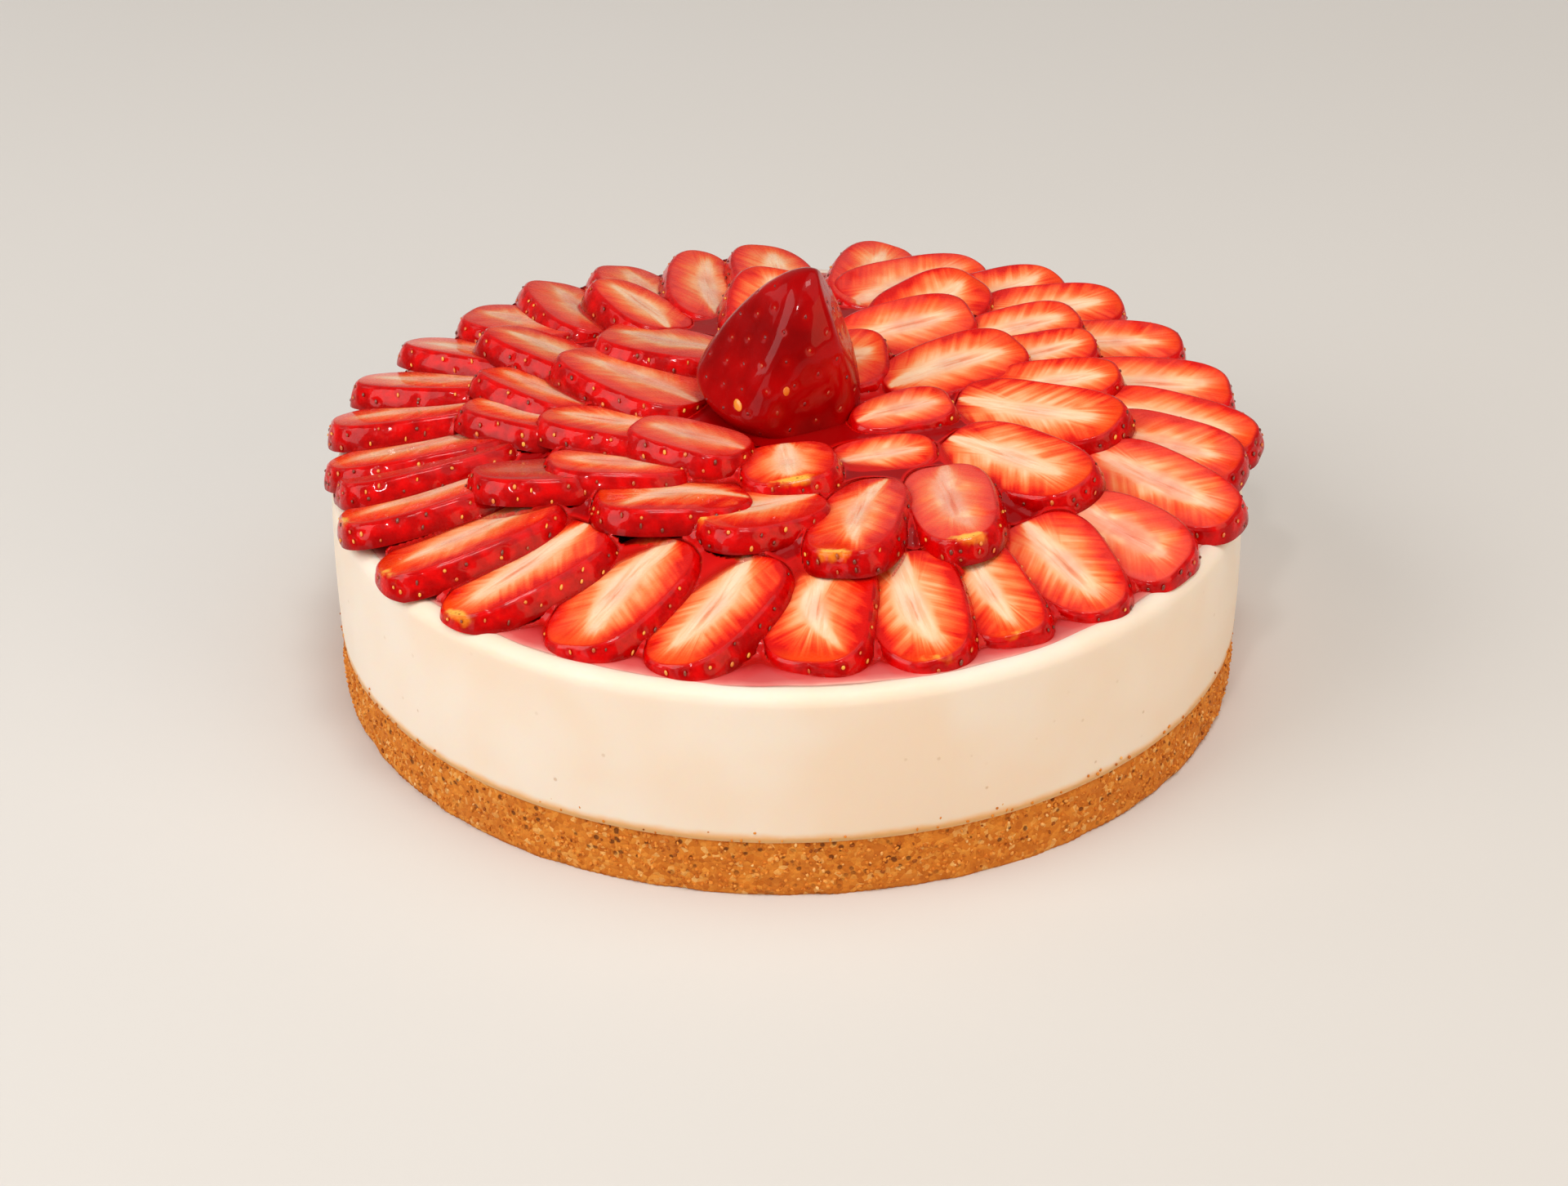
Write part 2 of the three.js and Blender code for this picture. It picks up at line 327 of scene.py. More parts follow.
@dataclass(frozen=True)
class CrumbFinish(Finish):
    """Pressed biscuit crumbs: a golden mass with small pits darkened as painted shade, and paler grains."""

    pale_share: float = 0.1

    def paint(self, board: Board) -> dict[str, Any]:
        """A golden ground of soft grains, pits between some of them darkened as painted shade, and toasted
        patches.
        """
        place = board.place()
        grains = board.node("ShaderNodeTexVoronoi", None, {"Vector": place, "Scale": 900.0})
        tone = board.parts(grains.output("Color"))[0]
        stops = [
            (0.0, linear(196, 104, 22)),
            (0.35, linear(216, 124, 34)),
            (0.75, linear(228, 140, 46)),
            (1.0 - self.pale_share, linear(234, 154, 60)),
            (1.0, linear(247, 190, 108)),
        ]
        colour = board.node("ShaderNodeValToRGB", {"stops": stops}, {0: tone})
        fine = board.noise(place, 2300.0, 2.0)
        colour = board.mix(fine.step(0.35, 0.75, 0.0, 0.4), colour, linear(206, 122, 44))
        toasted = board.noise(place, 110.0, 3.0).step(0.5, 0.72, 0.0, 0.5)
        colour = board.mix(toasted, colour, linear(200, 112, 38))
        # Painted shade: the pits between the grains are darkened, less so low on the wall.
        holes = board.node("ShaderNodeTexVoronoi", None, {"Vector": place, "Scale": 520.0})
        hollow = board.parts(holes.output("Color"))[1].step(0.5, 0.56)
        high_up = board.parts(place)[2].step(3 * MM, 8 * MM, 0.4, 1.0)
        pits = holes.step(0.16, 0.34, 1.0, 0.0) * hollow * high_up
        colour = board.mix(pits * 0.85, colour, linear(104, 48, 10))
        height = fine * 0.35 + (1.0 - grains) * 0.65 - pits * 1.4
        return {
            "Base Color": colour,
            "Roughness": tone.step(0.86, 1.0, 0.82, 0.42),
            "Normal": board.bump(height, 0.45 * MM, 0.8),
        }


@dataclass(frozen=True)
class GrainFinish(Finish):
    """Loose biscuit grains, each of one brown."""

    def paint(self, board: Board) -> dict[str, Any]:
        """A tone for each grain, most of them golden, a few pale or dark."""
        tone = board.attribute("tone", "Fac")
        stops = [
            (0.0, linear(140, 70, 16)),
            (0.1, linear(198, 108, 26)),
            (0.4, linear(218, 128, 38)),
            (0.8, linear(230, 146, 54)),
            (0.94, linear(236, 162, 74)),
            (1.0, linear(249, 200, 126)),
        ]
        fine = board.noise(board.place(), 2600.0, 2.0)
        return {
            "Base Color": board.node("ShaderNodeValToRGB", {"stops": stops}, {0: tone}),
            "Roughness": tone.step(0.86, 1.0, 0.8, 0.4),
            "Normal": board.bump(fine, 0.2 * MM, 0.6),
        }


@dataclass(frozen=True)
class FleshFinish(Finish):
    """A cut strawberry: pale core, fibres out to an orange-red rim, red skin round the edge.

    The mesh holds three vectors: spoke is the turn round the slice as cosine and sine, then the
    share of the way out; flesh is millimetres from the rim, the share of the way from the core
    to the rim, and depth below the cut face in millimetres; look is ripeness, glaze, which on
    some slices also stands for a painted pinkish sheen, and how streaky the slice is. The number
    gold is how yellow the skin gets.
    """

    def paint(self, board: Board) -> dict[str, Any]:
        """Colours the cut face from its core to its rim, and the skin below it."""
        cos_turn, sin_turn, out = board.parts(board.attribute("spoke"))
        rim, from_core, depth = board.parts(board.attribute("flesh"))
        ripe, glaze, streaky = board.parts(board.attribute("look"))
        gold = board.attribute("gold", "Fac")
        along, across, _ = board.parts(board.attribute("place"))
        aside = board.node("ShaderNodeMath", {"operation": "ABSOLUTE"}, {0: across})

        # The fibres leave the core and run out towards the tip, like the barbs of a feather
        side = across.step(-0.4, 0.4) * 6.0 + aside * 0.05
        swept = board.joined((along - aside * 0.8) * 0.5, side, ripe * 23.0)
        barbs = board.noise(swept, 1.0, 2.0, 0.55)
        round_tip = board.joined(cos_turn * 11.0, sin_turn * 11.0, out + ripe * 17.0)
        spokes = board.noise(round_tip, 1.0, 2.0, 0.55)
        at_tip = (cos_turn * cos_turn).step(0.55, 0.95)
        fibres = barbs + (spokes - barbs) * at_tip
        coarse = board.noise(board.joined(along * 0.13, across * 0.2, ripe * 31.0), 1.0, 1.0)
        streak = (fibres.step(0.15, 0.85) - 0.5) * (streaky * 0.48 + 0.1)
        spread = from_core.step(0.0, 0.22) * from_core.step(0.85, 1.0, 1.0, 0.3)
        shift = (streak + (coarse - 0.5) * 0.6) * spread
        position = from_core + shift + (ripe - 0.34) * 0.3
        stops = [
            (0.0, linear(255, 204, 160)),
            (0.22, linear(255, 174, 120)),
            (0.42, linear(255, 134, 74)),
            (0.6, linear(252, 100, 48)),
            (0.78, linear(246, 62, 24)),
            (0.93, linear(230, 28, 10)),
            (1.0, linear(214, 10, 3)),
        ]
        face = board.node("ShaderNodeValToRGB", {"stops": stops}, {0: position})

        veins = board.noise(board.joined(along * 0.10, across * 0.85, ripe * 19.0), 1.0, 3.0, 0.6)
        core = board.mix(veins.step(0.38, 0.62), linear(255, 222, 188), linear(255, 198, 154))
        core_edge = from_core + (coarse - 0.5) * 0.5
        face = board.mix(core_edge.step(-0.3, 0.16, 1.0, 0.0), face, core)
        slit = (aside + (coarse - 0.5) * 1.6).step(0.12, 0.4, 0.5, 0.0) * veins.step(0.45, 0.6)
        slit = slit * along.step(-9.0, -4.0) * along.step(2.0, 9.0, 1.0, 0.0)
        face = board.mix(slit, face, linear(232, 130, 84))

        bright_tip = (cos_turn * out).step(0.6, 0.92) * (1.0 - glaze)
        face = board.mix(bright_tip * 0.55, face, linear(255, 88, 12))

        # A pinkish film over the face: real glaze, and on some right-hand slices a painted pinkish
        # reflection of the glaze's sheen.
        cloud = board.noise(board.joined(along, across, ripe * 13.0), 0.16, 2.0)
        film = (cloud + glaze * 0.3).step(0.42, 0.7)
        glaze_and_sheen_colour = board.mix(glaze.step(0.6, 0.9), linear(234, 92, 78), linear(186, 62, 54))
        face = board.mix(glaze * film * 0.8, face, glaze_and_sheen_colour)

        mottle = board.noise(board.place(), 330.0, 2.0)
        skin = board.mix(mottle.step(0.3, 0.7), linear(222, 2, 2), linear(176, 0, 1))
        # Painted shade: the skin darkens towards the bottom of its wall, where the slice meets what lies
        # below.
        skin = board.mix(depth.step(2.2, 6.0, 0.0, 0.7), skin, linear(118, 0, 0))
        golden = (gold + (board.noise(board.place(), 480.0, 3.0) - 0.5) * 1.1).step(0.2, 0.8)
        skin = board.mix(golden * 0.7, skin, linear(252, 150, 36))
        face = board.mix(golden * 0.85, face, linear(255, 204, 84))
        dots = board.noise(board.place(), 1300.0, 0.0).step(0.68, 0.73) * golden
        face = board.mix(dots * 0.7, face, linear(150, 66, 20))
        edge_line = rim.step(0.1, 0.8, 0.85, 0.0) * golden.step(0.2, 0.8, 1.0, 0.2)
        colour = board.mix(edge_line, face, linear(206, 10, 3))
        colour = board.mix(depth.step(0.05, 0.4), colour, skin)

        pulp = board.noise(board.place(), 1500.0, 2.0)
        waver = board.noise(board.place(), 260.0, 2.0)
        lumps = board.noise(board.place(), 170.0, 3.0, 0.6)
        wall = depth.step(0.3, 0.9)
        cut_height = fibres * 0.45 + pulp * 0.2 + waver * 0.5
        height = cut_height * (1.0 - wall) + (lumps * 2.4 + pulp * 0.15) * wall
        return {
            "Base Color": colour,
            "Roughness": pulp.step(0.3, 0.7, 0.2, 0.36),
            "Coat Weight": depth.step(0.3, 1.2, 0.8, 0.5),
            "Normal": board.bump(height, 0.34 * MM, 0.55),
        }


@dataclass(frozen=True)
class SkinFinish(Finish):
    """The whole strawberry's skin: dark, wet red, a little lighter round each seed."""

    def paint(self, board: Board) -> dict[str, Any]:
        """Red that deepens in patches, over a skin that is not quite even."""
        place = board.place()
        patches = board.noise(place, 60.0, 3.0)
        colour = board.mix(patches.step(0.3, 0.7), linear(184, 0, 2), linear(126, 0, 1))
        pit = board.attribute("pit", "Fac")
        colour = board.mix(pit * 0.35, colour, linear(206, 24, 8))
        fine = board.noise(place, 900.0, 2.0)
        waver = board.noise(place, 230.0, 2.0)
        return {
            "Base Color": colour,
            "Roughness": fine.step(0.3, 0.7, 0.16, 0.28),
            "Normal": board.bump(fine * 0.35 + waver, 0.28 * MM, 0.4),
        }


@dataclass(frozen=True)
class SeedFinish(Finish):
    """Strawberry seeds, each of one tone between a dark and a pale one."""

    dark: tuple[float, ...] = linear(120, 40, 12)
    middle: tuple[float, ...] = linear(214, 96, 24)
    pale: tuple[float, ...] = linear(250, 176, 62)

    def paint(self, board: Board) -> dict[str, Any]:
        """A tone for each seed."""
        tone = board.attribute("tone", "Fac")
        stops = [(0.0, self.dark), (0.25, self.dark), (0.55, self.middle), (1.0, self.pale)]
        return {"Base Color": board.node("ShaderNodeValToRGB", {"stops": stops}, {0: tone})}


@dataclass(frozen=True)
class PoolFinish(Finish):
    """Strawberry glaze on the filling: pale pink at its edge, pinkish red further in, the deepest red
    partly painted shade near the slices.
    """

    def paint(self, board: Board) -> dict[str, Any]:
        """Colour and cover by how deep the glaze is."""
        depth = board.attribute("deep", "Fac")
        clouds = board.noise(board.place(), 90.0, 3.0)
        # Redder further in: thicker glaze, and near the slices painted shade.
        stops = [
            (0.0, linear(244, 182, 166)),
            (0.1, linear(232, 132, 124)),
            (0.28, linear(216, 88, 86)),
            (0.65, linear(204, 60, 62)),
            (1.0, linear(178, 26, 26)),
        ]
        level = depth + (clouds - 0.5) * 0.4
        return {
            "Base Color": board.node("ShaderNodeValToRGB", {"stops": stops}, {0: level}),
            "Alpha": depth.step(0.0, 0.08, 0.2, 1.0),
            "Normal": board.bump(clouds, 0.3 * MM, 0.3),
        }


@dataclass(frozen=True)
class GelFinish(Finish):
    """Strawberry glaze between the slices: clear red where thin, dark red where deep, the dark red also
    painted shade in the crevices.
    """

    def paint(self, board: Board) -> dict[str, Any]:
        """Colour and cover by the depth in millimetres."""
        depth = board.attribute("deep", "Fac")
        waver = board.noise(board.place(), 300.0, 2.0)
        # Dark red where deep: thick glaze, and painted shade in the crevices between the slices.
        stops = [
            (0.0, linear(224, 30, 20)),
            (0.4, linear(204, 6, 5)),
            (1.0, linear(154, 0, 2)),
        ]
        return {
            "Base Color": board.node("ShaderNodeValToRGB", {"stops": stops}, {0: depth * 0.3}),
            "Alpha": depth.step(0.08, 1.1),
            "Normal": board.bump(waver, 0.2 * MM, 0.35),
        }


@dataclass(frozen=True)
class StudioFinish(Finish):
    """The plain pale floor."""

    colour: tuple[float, ...] = linear(219, 216, 212)

    def paint(self, board: Board) -> dict[str, Any]:
        """One faintly mottled colour."""
        mottle = board.noise(board.place(), 3.0, 2.0).step(0.2, 0.8)
        return {"Base Color": board.mix(mottle * 0.25, self.colour, linear(213, 208, 200))}


def make_mesh(
    name: str,
    vertices: np.ndarray,
    faces: Iterable[Sequence[int]],
    attributes: Mapping[str, np.ndarray] | None = None,
) -> bpy.types.Mesh:
    """Makes a smooth mesh with its point attributes.

    Args:
        name: The mesh's name.
        vertices: Places in metres, one row each.
        faces: Vertex numbers of each face, counterclockwise from outside.
        attributes: Values for each vertex, by name: numbers or vectors.

    Returns:
        The mesh.
    """
    mesh = bpy.data.meshes.new(name)
    mesh.from_pydata(vertices.tolist(), [], [list(face) for face in faces])
    mesh.update()
    mesh.shade_smooth()
    set_attributes(mesh, attributes or {})
    return mesh


def set_attributes(mesh: bpy.types.Mesh, attributes: Mapping[str, np.ndarray]) -> None:
    """Writes point attributes to a mesh, numbers or vectors by their shape."""
    for name, values in attributes.items():
        is_vector = values.ndim == 2
        kind = "FLOAT_VECTOR" if is_vector else "FLOAT"
        layer = mesh.attributes.new(name, kind, "POINT")
        layer.data.foreach_set("vector" if is_vector else "value", values.astype(np.float32).ravel())


def places_of(mesh: bpy.types.Mesh) -> np.ndarray:
    """A mesh's vertex places as rows."""
    flat = np.empty(len(mesh.vertices) * 3)
    mesh.vertices.foreach_get("co", flat)
    return flat.reshape(-1, 3)


def link_object(name: str, mesh: bpy.types.Mesh) -> bpy.types.Object:
    """Puts a mesh into the scene as an object at the origin."""
    made = bpy.data.objects.new(name, mesh)
    bpy.context.scene.collection.objects.link(made)
    return made


def dress(piece: bpy.types.Object, material: bpy.types.Material) -> None:
    """Gives a piece its one material."""
    piece.data.materials.clear()
    piece.data.materials.append(material)


def settle(piece: bpy.types.Object, nodes: Sequence[str] = ()) -> None:
    """Rides a finished piece on the cake and hides the nodes that it stands for.

    Args:
        piece: The finished object, at the origin.
        nodes: The nodes of the frame that it replaces.
    """
    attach(piece, BODY)
    if nodes:
        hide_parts(*nodes)
    LOG.info("%s: %d faces", piece.name, len(piece.data.polygons))


def add_piece(mesh: bpy.types.Mesh, finish: Finish, nodes: Sequence[str] = ()) -> None:
    """Puts a mesh into the scene as a finished piece of the same name.

    Args:
        mesh: The piece's mesh.
        finish: Its finish.
        nodes: The nodes of the frame that it replaces.
    """
    piece = link_object(mesh.name, mesh)
    dress(piece, finish.build())
    settle(piece, nodes)


def turns(sides: int) -> np.ndarray:
    """The angles of even steps once round the cake."""
    return np.arange(sides) * FULL_TURN / sides


def round_places(turn: np.ndarray, radius: np.ndarray | float, height: np.ndarray | float) -> np.ndarray:
    """Places of points that are given by their turn round the cake, radius and height."""
    return np.stack([radius * np.cos(turn), radius * np.sin(turn), np.broadcast_to(height, turn.shape)], -1)


def closed_body(
    rings: Sequence[np.ndarray], first: Sequence[float], last: Sequence[float]
) -> tuple[np.ndarray, list[tuple[int, ...]]]:
    """Vertices and faces of a body of closed rows of points, with a single point at each end."""
    vertices = np.concatenate([*rings, [first, last]])
    return vertices, ring_faces(len(rings), len(rings[0]), True, True)


def ring_faces(rows: int, sides: int, cap_first: bool, cap_last: bool) -> list[tuple[int, ...]]:
    """Faces of a surface of closed rows of points, with single end points where it is capped.

    Args:
        rows: Number of full rows.
        sides: Points in a row.
        cap_first: Whether a single point follows all rows that closes the first row.
        cap_last: Whether a further single point closes the last row.

    Returns:
        The faces. Rows run counterclockwise from above, and go down the outside.
    """
    faces: list[tuple[int, ...]] = []
    for row in range(rows - 1):
        for side in range(sides):
            ahead = (side + 1) % sides
            a, b = row * sides + side, row * sides + ahead
            faces.append((a, a + sides, b + sides, b))
    first_cap = rows * sides
    last_cap = first_cap + (1 if cap_first else 0)
    last_row = (rows - 1) * sides
    for side in range(sides):
        ahead = (side + 1) % sides
        if cap_first:
            faces.append((first_cap, side, ahead))
        if cap_last:
            faces.append((last_cap, last_row + ahead, last_row + side))
    return faces


def lathe(profile: np.ndarray, sides: int) -> tuple[np.ndarray, np.ndarray, np.ndarray]:
    """Turns a profile of radius and height about the Z axis.

    Args:
        profile: Rows of radius and height, from the top middle down the outside to the bottom.
        sides: Steps round.

    Returns:
        Angles, radii and heights as arrays of rows by sides.
    """
    angles = np.tile(turns(sides), (len(profile), 1))
    radii = np.tile(profile[:, :1], (1, sides))
    heights = np.tile(profile[:, 1:2], (1, sides))
    return angles, radii, heights


def arc(
    centre: tuple[float, float], radius: float, start: float, end: float, steps: int
) -> list[tuple[float, float]]:
    """Points of an arc, from one angle in degrees to another."""
    turns = np.radians(np.linspace(start, end, steps))
    return [(centre[0] + radius * math.cos(t), centre[1] + radius * math.sin(t)) for t in turns]


def waves(turn: np.ndarray, parts: Sequence[tuple[int, float, float]]) -> np.ndarray:
    """A sum of waves round the cake, each given by its count, height and phase."""
    return sum(height * np.sin(count * turn + phase) for count, height, phase in parts)


@dataclass(frozen=True)
class SmallBody:
    """A rounded grain or seed, how much its copies differ, and how many stand on a square metre."""

    length: float
    width: float
    thickness: float
    unevenness: float
    seed: int
    subdivisions: int
    density: float = 0.0


class ScatterTree:
    """A Geometry Nodes tree that stands a small rounded body on each point it is given."""

    INPUTS = {
        "Geometry": "NodeSocketGeometry",
        "Length": "NodeSocketFloat",
        "Width": "NodeSocketFloat",
        "Thickness": "NodeSocketFloat",
        "Unevenness": "NodeSocketFloat",
        "Density": "NodeSocketFloat",
        "Seed": "NodeSocketInt",
        "Subdivisions": "NodeSocketInt",
        "Material": "NodeSocketMaterial",
    }

    def __init__(self, name: str, faces_too: bool) -> None:
        """Builds the tree.

        Args:
            name: The tree's name.
            faces_too: Whether it strews points over faces first, and else uses the vertices.
        """
        self.tree = bpy.data.node_groups.new(name, "GeometryNodeTree")
        self.board = Board(self.tree)
        self.keys: dict[str, str] = {}
        for label, kind in self.INPUTS.items():
            made = self.tree.interface.new_socket(label, in_out="INPUT", socket_type=kind)
            self.keys[label] = made.identifier
        self.tree.interface.new_socket("Geometry", in_out="OUTPUT", socket_type="NodeSocketGeometry")
        self._wire_up(faces_too)

    def _wire_up(self, faces_too: bool) -> None:
        """Adds the nodes from the points to the finished bodies."""
        board = self.board
        given = board.node("NodeGroupInput")
        plain_ball = {"Radius": 0.5, "Subdivisions": given.output("Subdivisions")}
        body = board.node("GeometryNodeMeshIcoSphere", None, plain_ball)
        size = board.joined(given.output("Width"), given.output("Length"), given.output("Thickness"))
        body = board.node("GeometryNodeTransform", None, {"Geometry": body, "Scale": size})
        points = given.output("Geometry")
        seed = given.output("Seed")
        if faces_too:
            strewn = {"Mesh": points, "Density": given.output("Density"), "Seed": seed}
            points = board.node("GeometryNodeDistributePointsOnFaces", None, strewn)
            any_turn = (6.28, 6.28, 6.28)
            rotation = self._random("FLOAT_VECTOR", (0.0, 0.0, 0.0), any_turn, seed)
        else:
            kind = {"data_type": "FLOAT_VECTOR"}
            facing = board.node("GeometryNodeInputNamedAttribute", kind, {0: "facing"})
            rotation = board.node("FunctionNodeAlignRotationToVector", {"axis": "Z"}, {"Vector": facing})
        spread = given.output("Unevenness")
        scale = self._random("FLOAT_VECTOR", 1.0 - spread, 1.0 + spread, seed)
        stood = {"Points": points, "Instance": body, "Rotation": rotation, "Scale": scale}
        bodies = board.node("GeometryNodeInstanceOnPoints", None, stood)
        tone = self._random("FLOAT", 0.0, 1.0, seed)
        each = {"data_type": "FLOAT", "domain": "INSTANCE"}
        named = {"Geometry": bodies, "Name": "tone", "Value": tone}
        toned = board.node("GeometryNodeStoreNamedAttribute", each, named)
        plain = board.node("GeometryNodeRealizeInstances", None, {"Geometry": toned})
        smooth = board.node("GeometryNodeSetShadeSmooth", None, {"Geometry": plain})
        dressed = {"Geometry": smooth, "Material": given.output("Material")}
        done = board.node("GeometryNodeSetMaterial", None, dressed)
        board.node("NodeGroupOutput", None, {0: done})

    def _random(self, kind: str, low: Any, high: Any, seed: Wire) -> Wire:
        """A random value of a kind between two bounds."""
        random = self.board.node("FunctionNodeRandomValue", {"data_type": kind})
        bounds = {"Min": low, "Max": high, "Seed": seed}
        for socket in random.node.inputs:
            if socket.enabled and socket.name in bounds:
                self.board.feed(socket, bounds[socket.name])
        shown = [index for index, socket in enumerate(random.node.outputs) if socket.enabled]
        return random.output(shown[0])

    def grow(
        self, name: str, source: bpy.types.Mesh, body: SmallBody, material: bpy.types.Material
    ) -> bpy.types.Object:
        """Runs the tree on a mesh and keeps the result as a plain mesh.

        Args:
            name: Name of the new piece.
            source: The mesh that carries the points.
            body: The small body, whose fields are the tree's inputs.
            material: The material of the bodies.

        Returns:
            The new piece, without a modifier.
        """
        carrier = link_object(name, source)
        modifier = carrier.modifiers.new("scatter", "NODES")
        modifier.node_group = self.tree
        for field, value in asdict(body).items():
            modifier[self.keys[field.capitalize()]] = value
        modifier[self.keys["Material"]] = material
        graph = bpy.context.evaluated_depsgraph_get()
        result = bpy.data.meshes.new_from_object(carrier.evaluated_get(graph))
        carrier.modifiers.remove(modifier)
        carrier.data = result
        result.name = name
        return carrier


def stand_bodies(
    name: str,
    places: np.ndarray,
    facing: np.ndarray,
    body: SmallBody,
    material: bpy.types.Material,
) -> None:
    """Stands a small body on each place and settles them all as one piece.

    Args:
        name: Name of the piece.
        places: Where the bodies stand.
        facing: The way that each faces.
        body: The body and its sizes.
        material: Its material.
    """
    source = make_mesh(name + "_points", places, [], {"facing": facing})
    settle(ScatterTree(name + "_scatter", False).grow(name, source, body, material))


@dataclass
class CrumbBase:
    """The pressed crumb base and the loose grains that stand out of its wall.

    top_edge holds how far in and how far above the seam the base's top edge runs.
    """

    radius: float = 99.1 * MM
    height: float = 13.5 * MM
    crag: float = 0.42 * MM
    sides: int = 760
    rows: int = 22
    top_edge: tuple[tuple[float, float], ...] = ((8.0, -0.4), (1.2, 0.1), (0.45, 0.0))
    middle_sink: float = 0.4 * MM
    wall_below_seam: float = 0.25 * MM
    edge_round: float = 0.35 * MM
    foot_inset: float = 3 * MM
    seam_rise: float = 0.55 * MM
    grain: float = 0.8 * MM
    grains_per_area: float = 430_000.0
    grain_clearance: float = 0.7 * MM
    stray_count: int = 130
    stray_low: float = 0.1 * MM
    stray_reach: float = 2.6 * MM
    filling_radius: float = 99.45 * MM

    def _crag_offset(self, turn: np.ndarray, height: np.ndarray) -> np.ndarray:
        """How far the wall stands out or in at each place, as the solid does but finer."""
        tall = height / MM
        wide = np.sin(11 * turn + 0.7 * tall) * np.sin(17 * turn - 1.1 * tall)
        fine = np.sin(41 * turn + 2.3 * tall) * np.sin(29 * turn - 1.9 * tall)
        small = np.sin(163 * turn + 5.1 * tall) * np.sin(211 * turn - 4.3 * tall + 1.0)
        return self.crag * (0.35 * wide + 0.4 * fine + 0.45 * small)

    def _seam(self, turn: np.ndarray) -> np.ndarray:
        """The height of the crumbs' top edge, which wanders round the cake."""
        return self.height + self.seam_rise * waves(
            turn, [(5, 0.4, 0.3), (9, 0.45, 1.9), (23, 0.3, 0.5), (57, 0.22, 2.2), (101, 0.18, 1.1)]
        )

    def wall(self) -> tuple[np.ndarray, list[tuple[int, ...]]]:
        """Vertices and faces of the closed base."""
        turn = turns(self.sides)
        seam = self._seam(turn)
        rings = [
            round_places(turn, self.radius - inset * MM, seam + rise * MM) for inset, rise in self.top_edge
        ]
        for row in range(self.rows + 1):
            share = 1 - row / self.rows
            height = share * (seam - self.wall_below_seam)
            round_off = self.edge_round * (share**10 + (1 - share) ** 14)
            radius = self.radius + self._crag_offset(turn, height) - round_off
            rings.append(round_places(turn, radius, height))
        rings.append(round_places(turn, self.radius - self.foot_inset, 0.0))
        return closed_body(rings, (0, 0, self.height - self.middle_sink), (0, 0, 0))

    def build(self) -> None:
        """Makes the base and its grains."""
        vertices, faces = self.wall()
        finish = CrumbFinish("pressed_crumb", roughness=0.85, specular=0.25)
        add_piece(make_mesh("crust", vertices, faces), finish, ["crumb_base"])
        band = [face for face in faces if len(face) == 4 and self._on_wall(vertices[list(face)])]
        source = make_mesh("crust_band", vertices, band)
        loose = GrainFinish("loose_crumb", roughness=0.8, specular=0.3).build()
        grain = SmallBody(
            length=self.grain * 1.15,
            width=self.grain,
            thickness=self.grain * 0.8,
            unevenness=0.5,
            seed=11,
            subdivisions=1,
            density=self.grains_per_area,
        )
        grains = ScatterTree("crumb_scatter", True).grow("crust_grains", source, grain, loose)
        settle(grains)
        self._strays(loose)

    def _strays(self, loose: bpy.types.Material) -> None:
        """Sticks a few crumbs to the filling just above the seam."""
        draw = Draw(53)
        places = []
        facing = []
        for _ in range(self.stray_count):
            turn = FULL_TURN * draw.next()
            rise = self.stray_low + self.stray_reach * draw.next() ** 3
            height = float(self._seam(np.array([turn]))[0]) + rise
            outward = (math.cos(turn), math.sin(turn), 0.0)
            places.append((outward[0] * self.filling_radius, outward[1] * self.filling_radius, height))
            facing.append(outward)
        stray = SmallBody(0.75 * MM, 0.65 * MM, 0.5 * MM, unevenness=0.4, seed=21, subdivisions=1)
        stand_bodies("stray_crumbs", np.array(places), np.array(facing), stray, loose)

    def _on_wall(self, corners: np.ndarray) -> bool:
        """Whether a face belongs to the upright wall, clear of the floor."""
        radii = np.hypot(corners[:, 0], corners[:, 1])
        return radii.min() > self.radius - 1.0 * MM and corners[:, 2].min() > self.grain_clearance


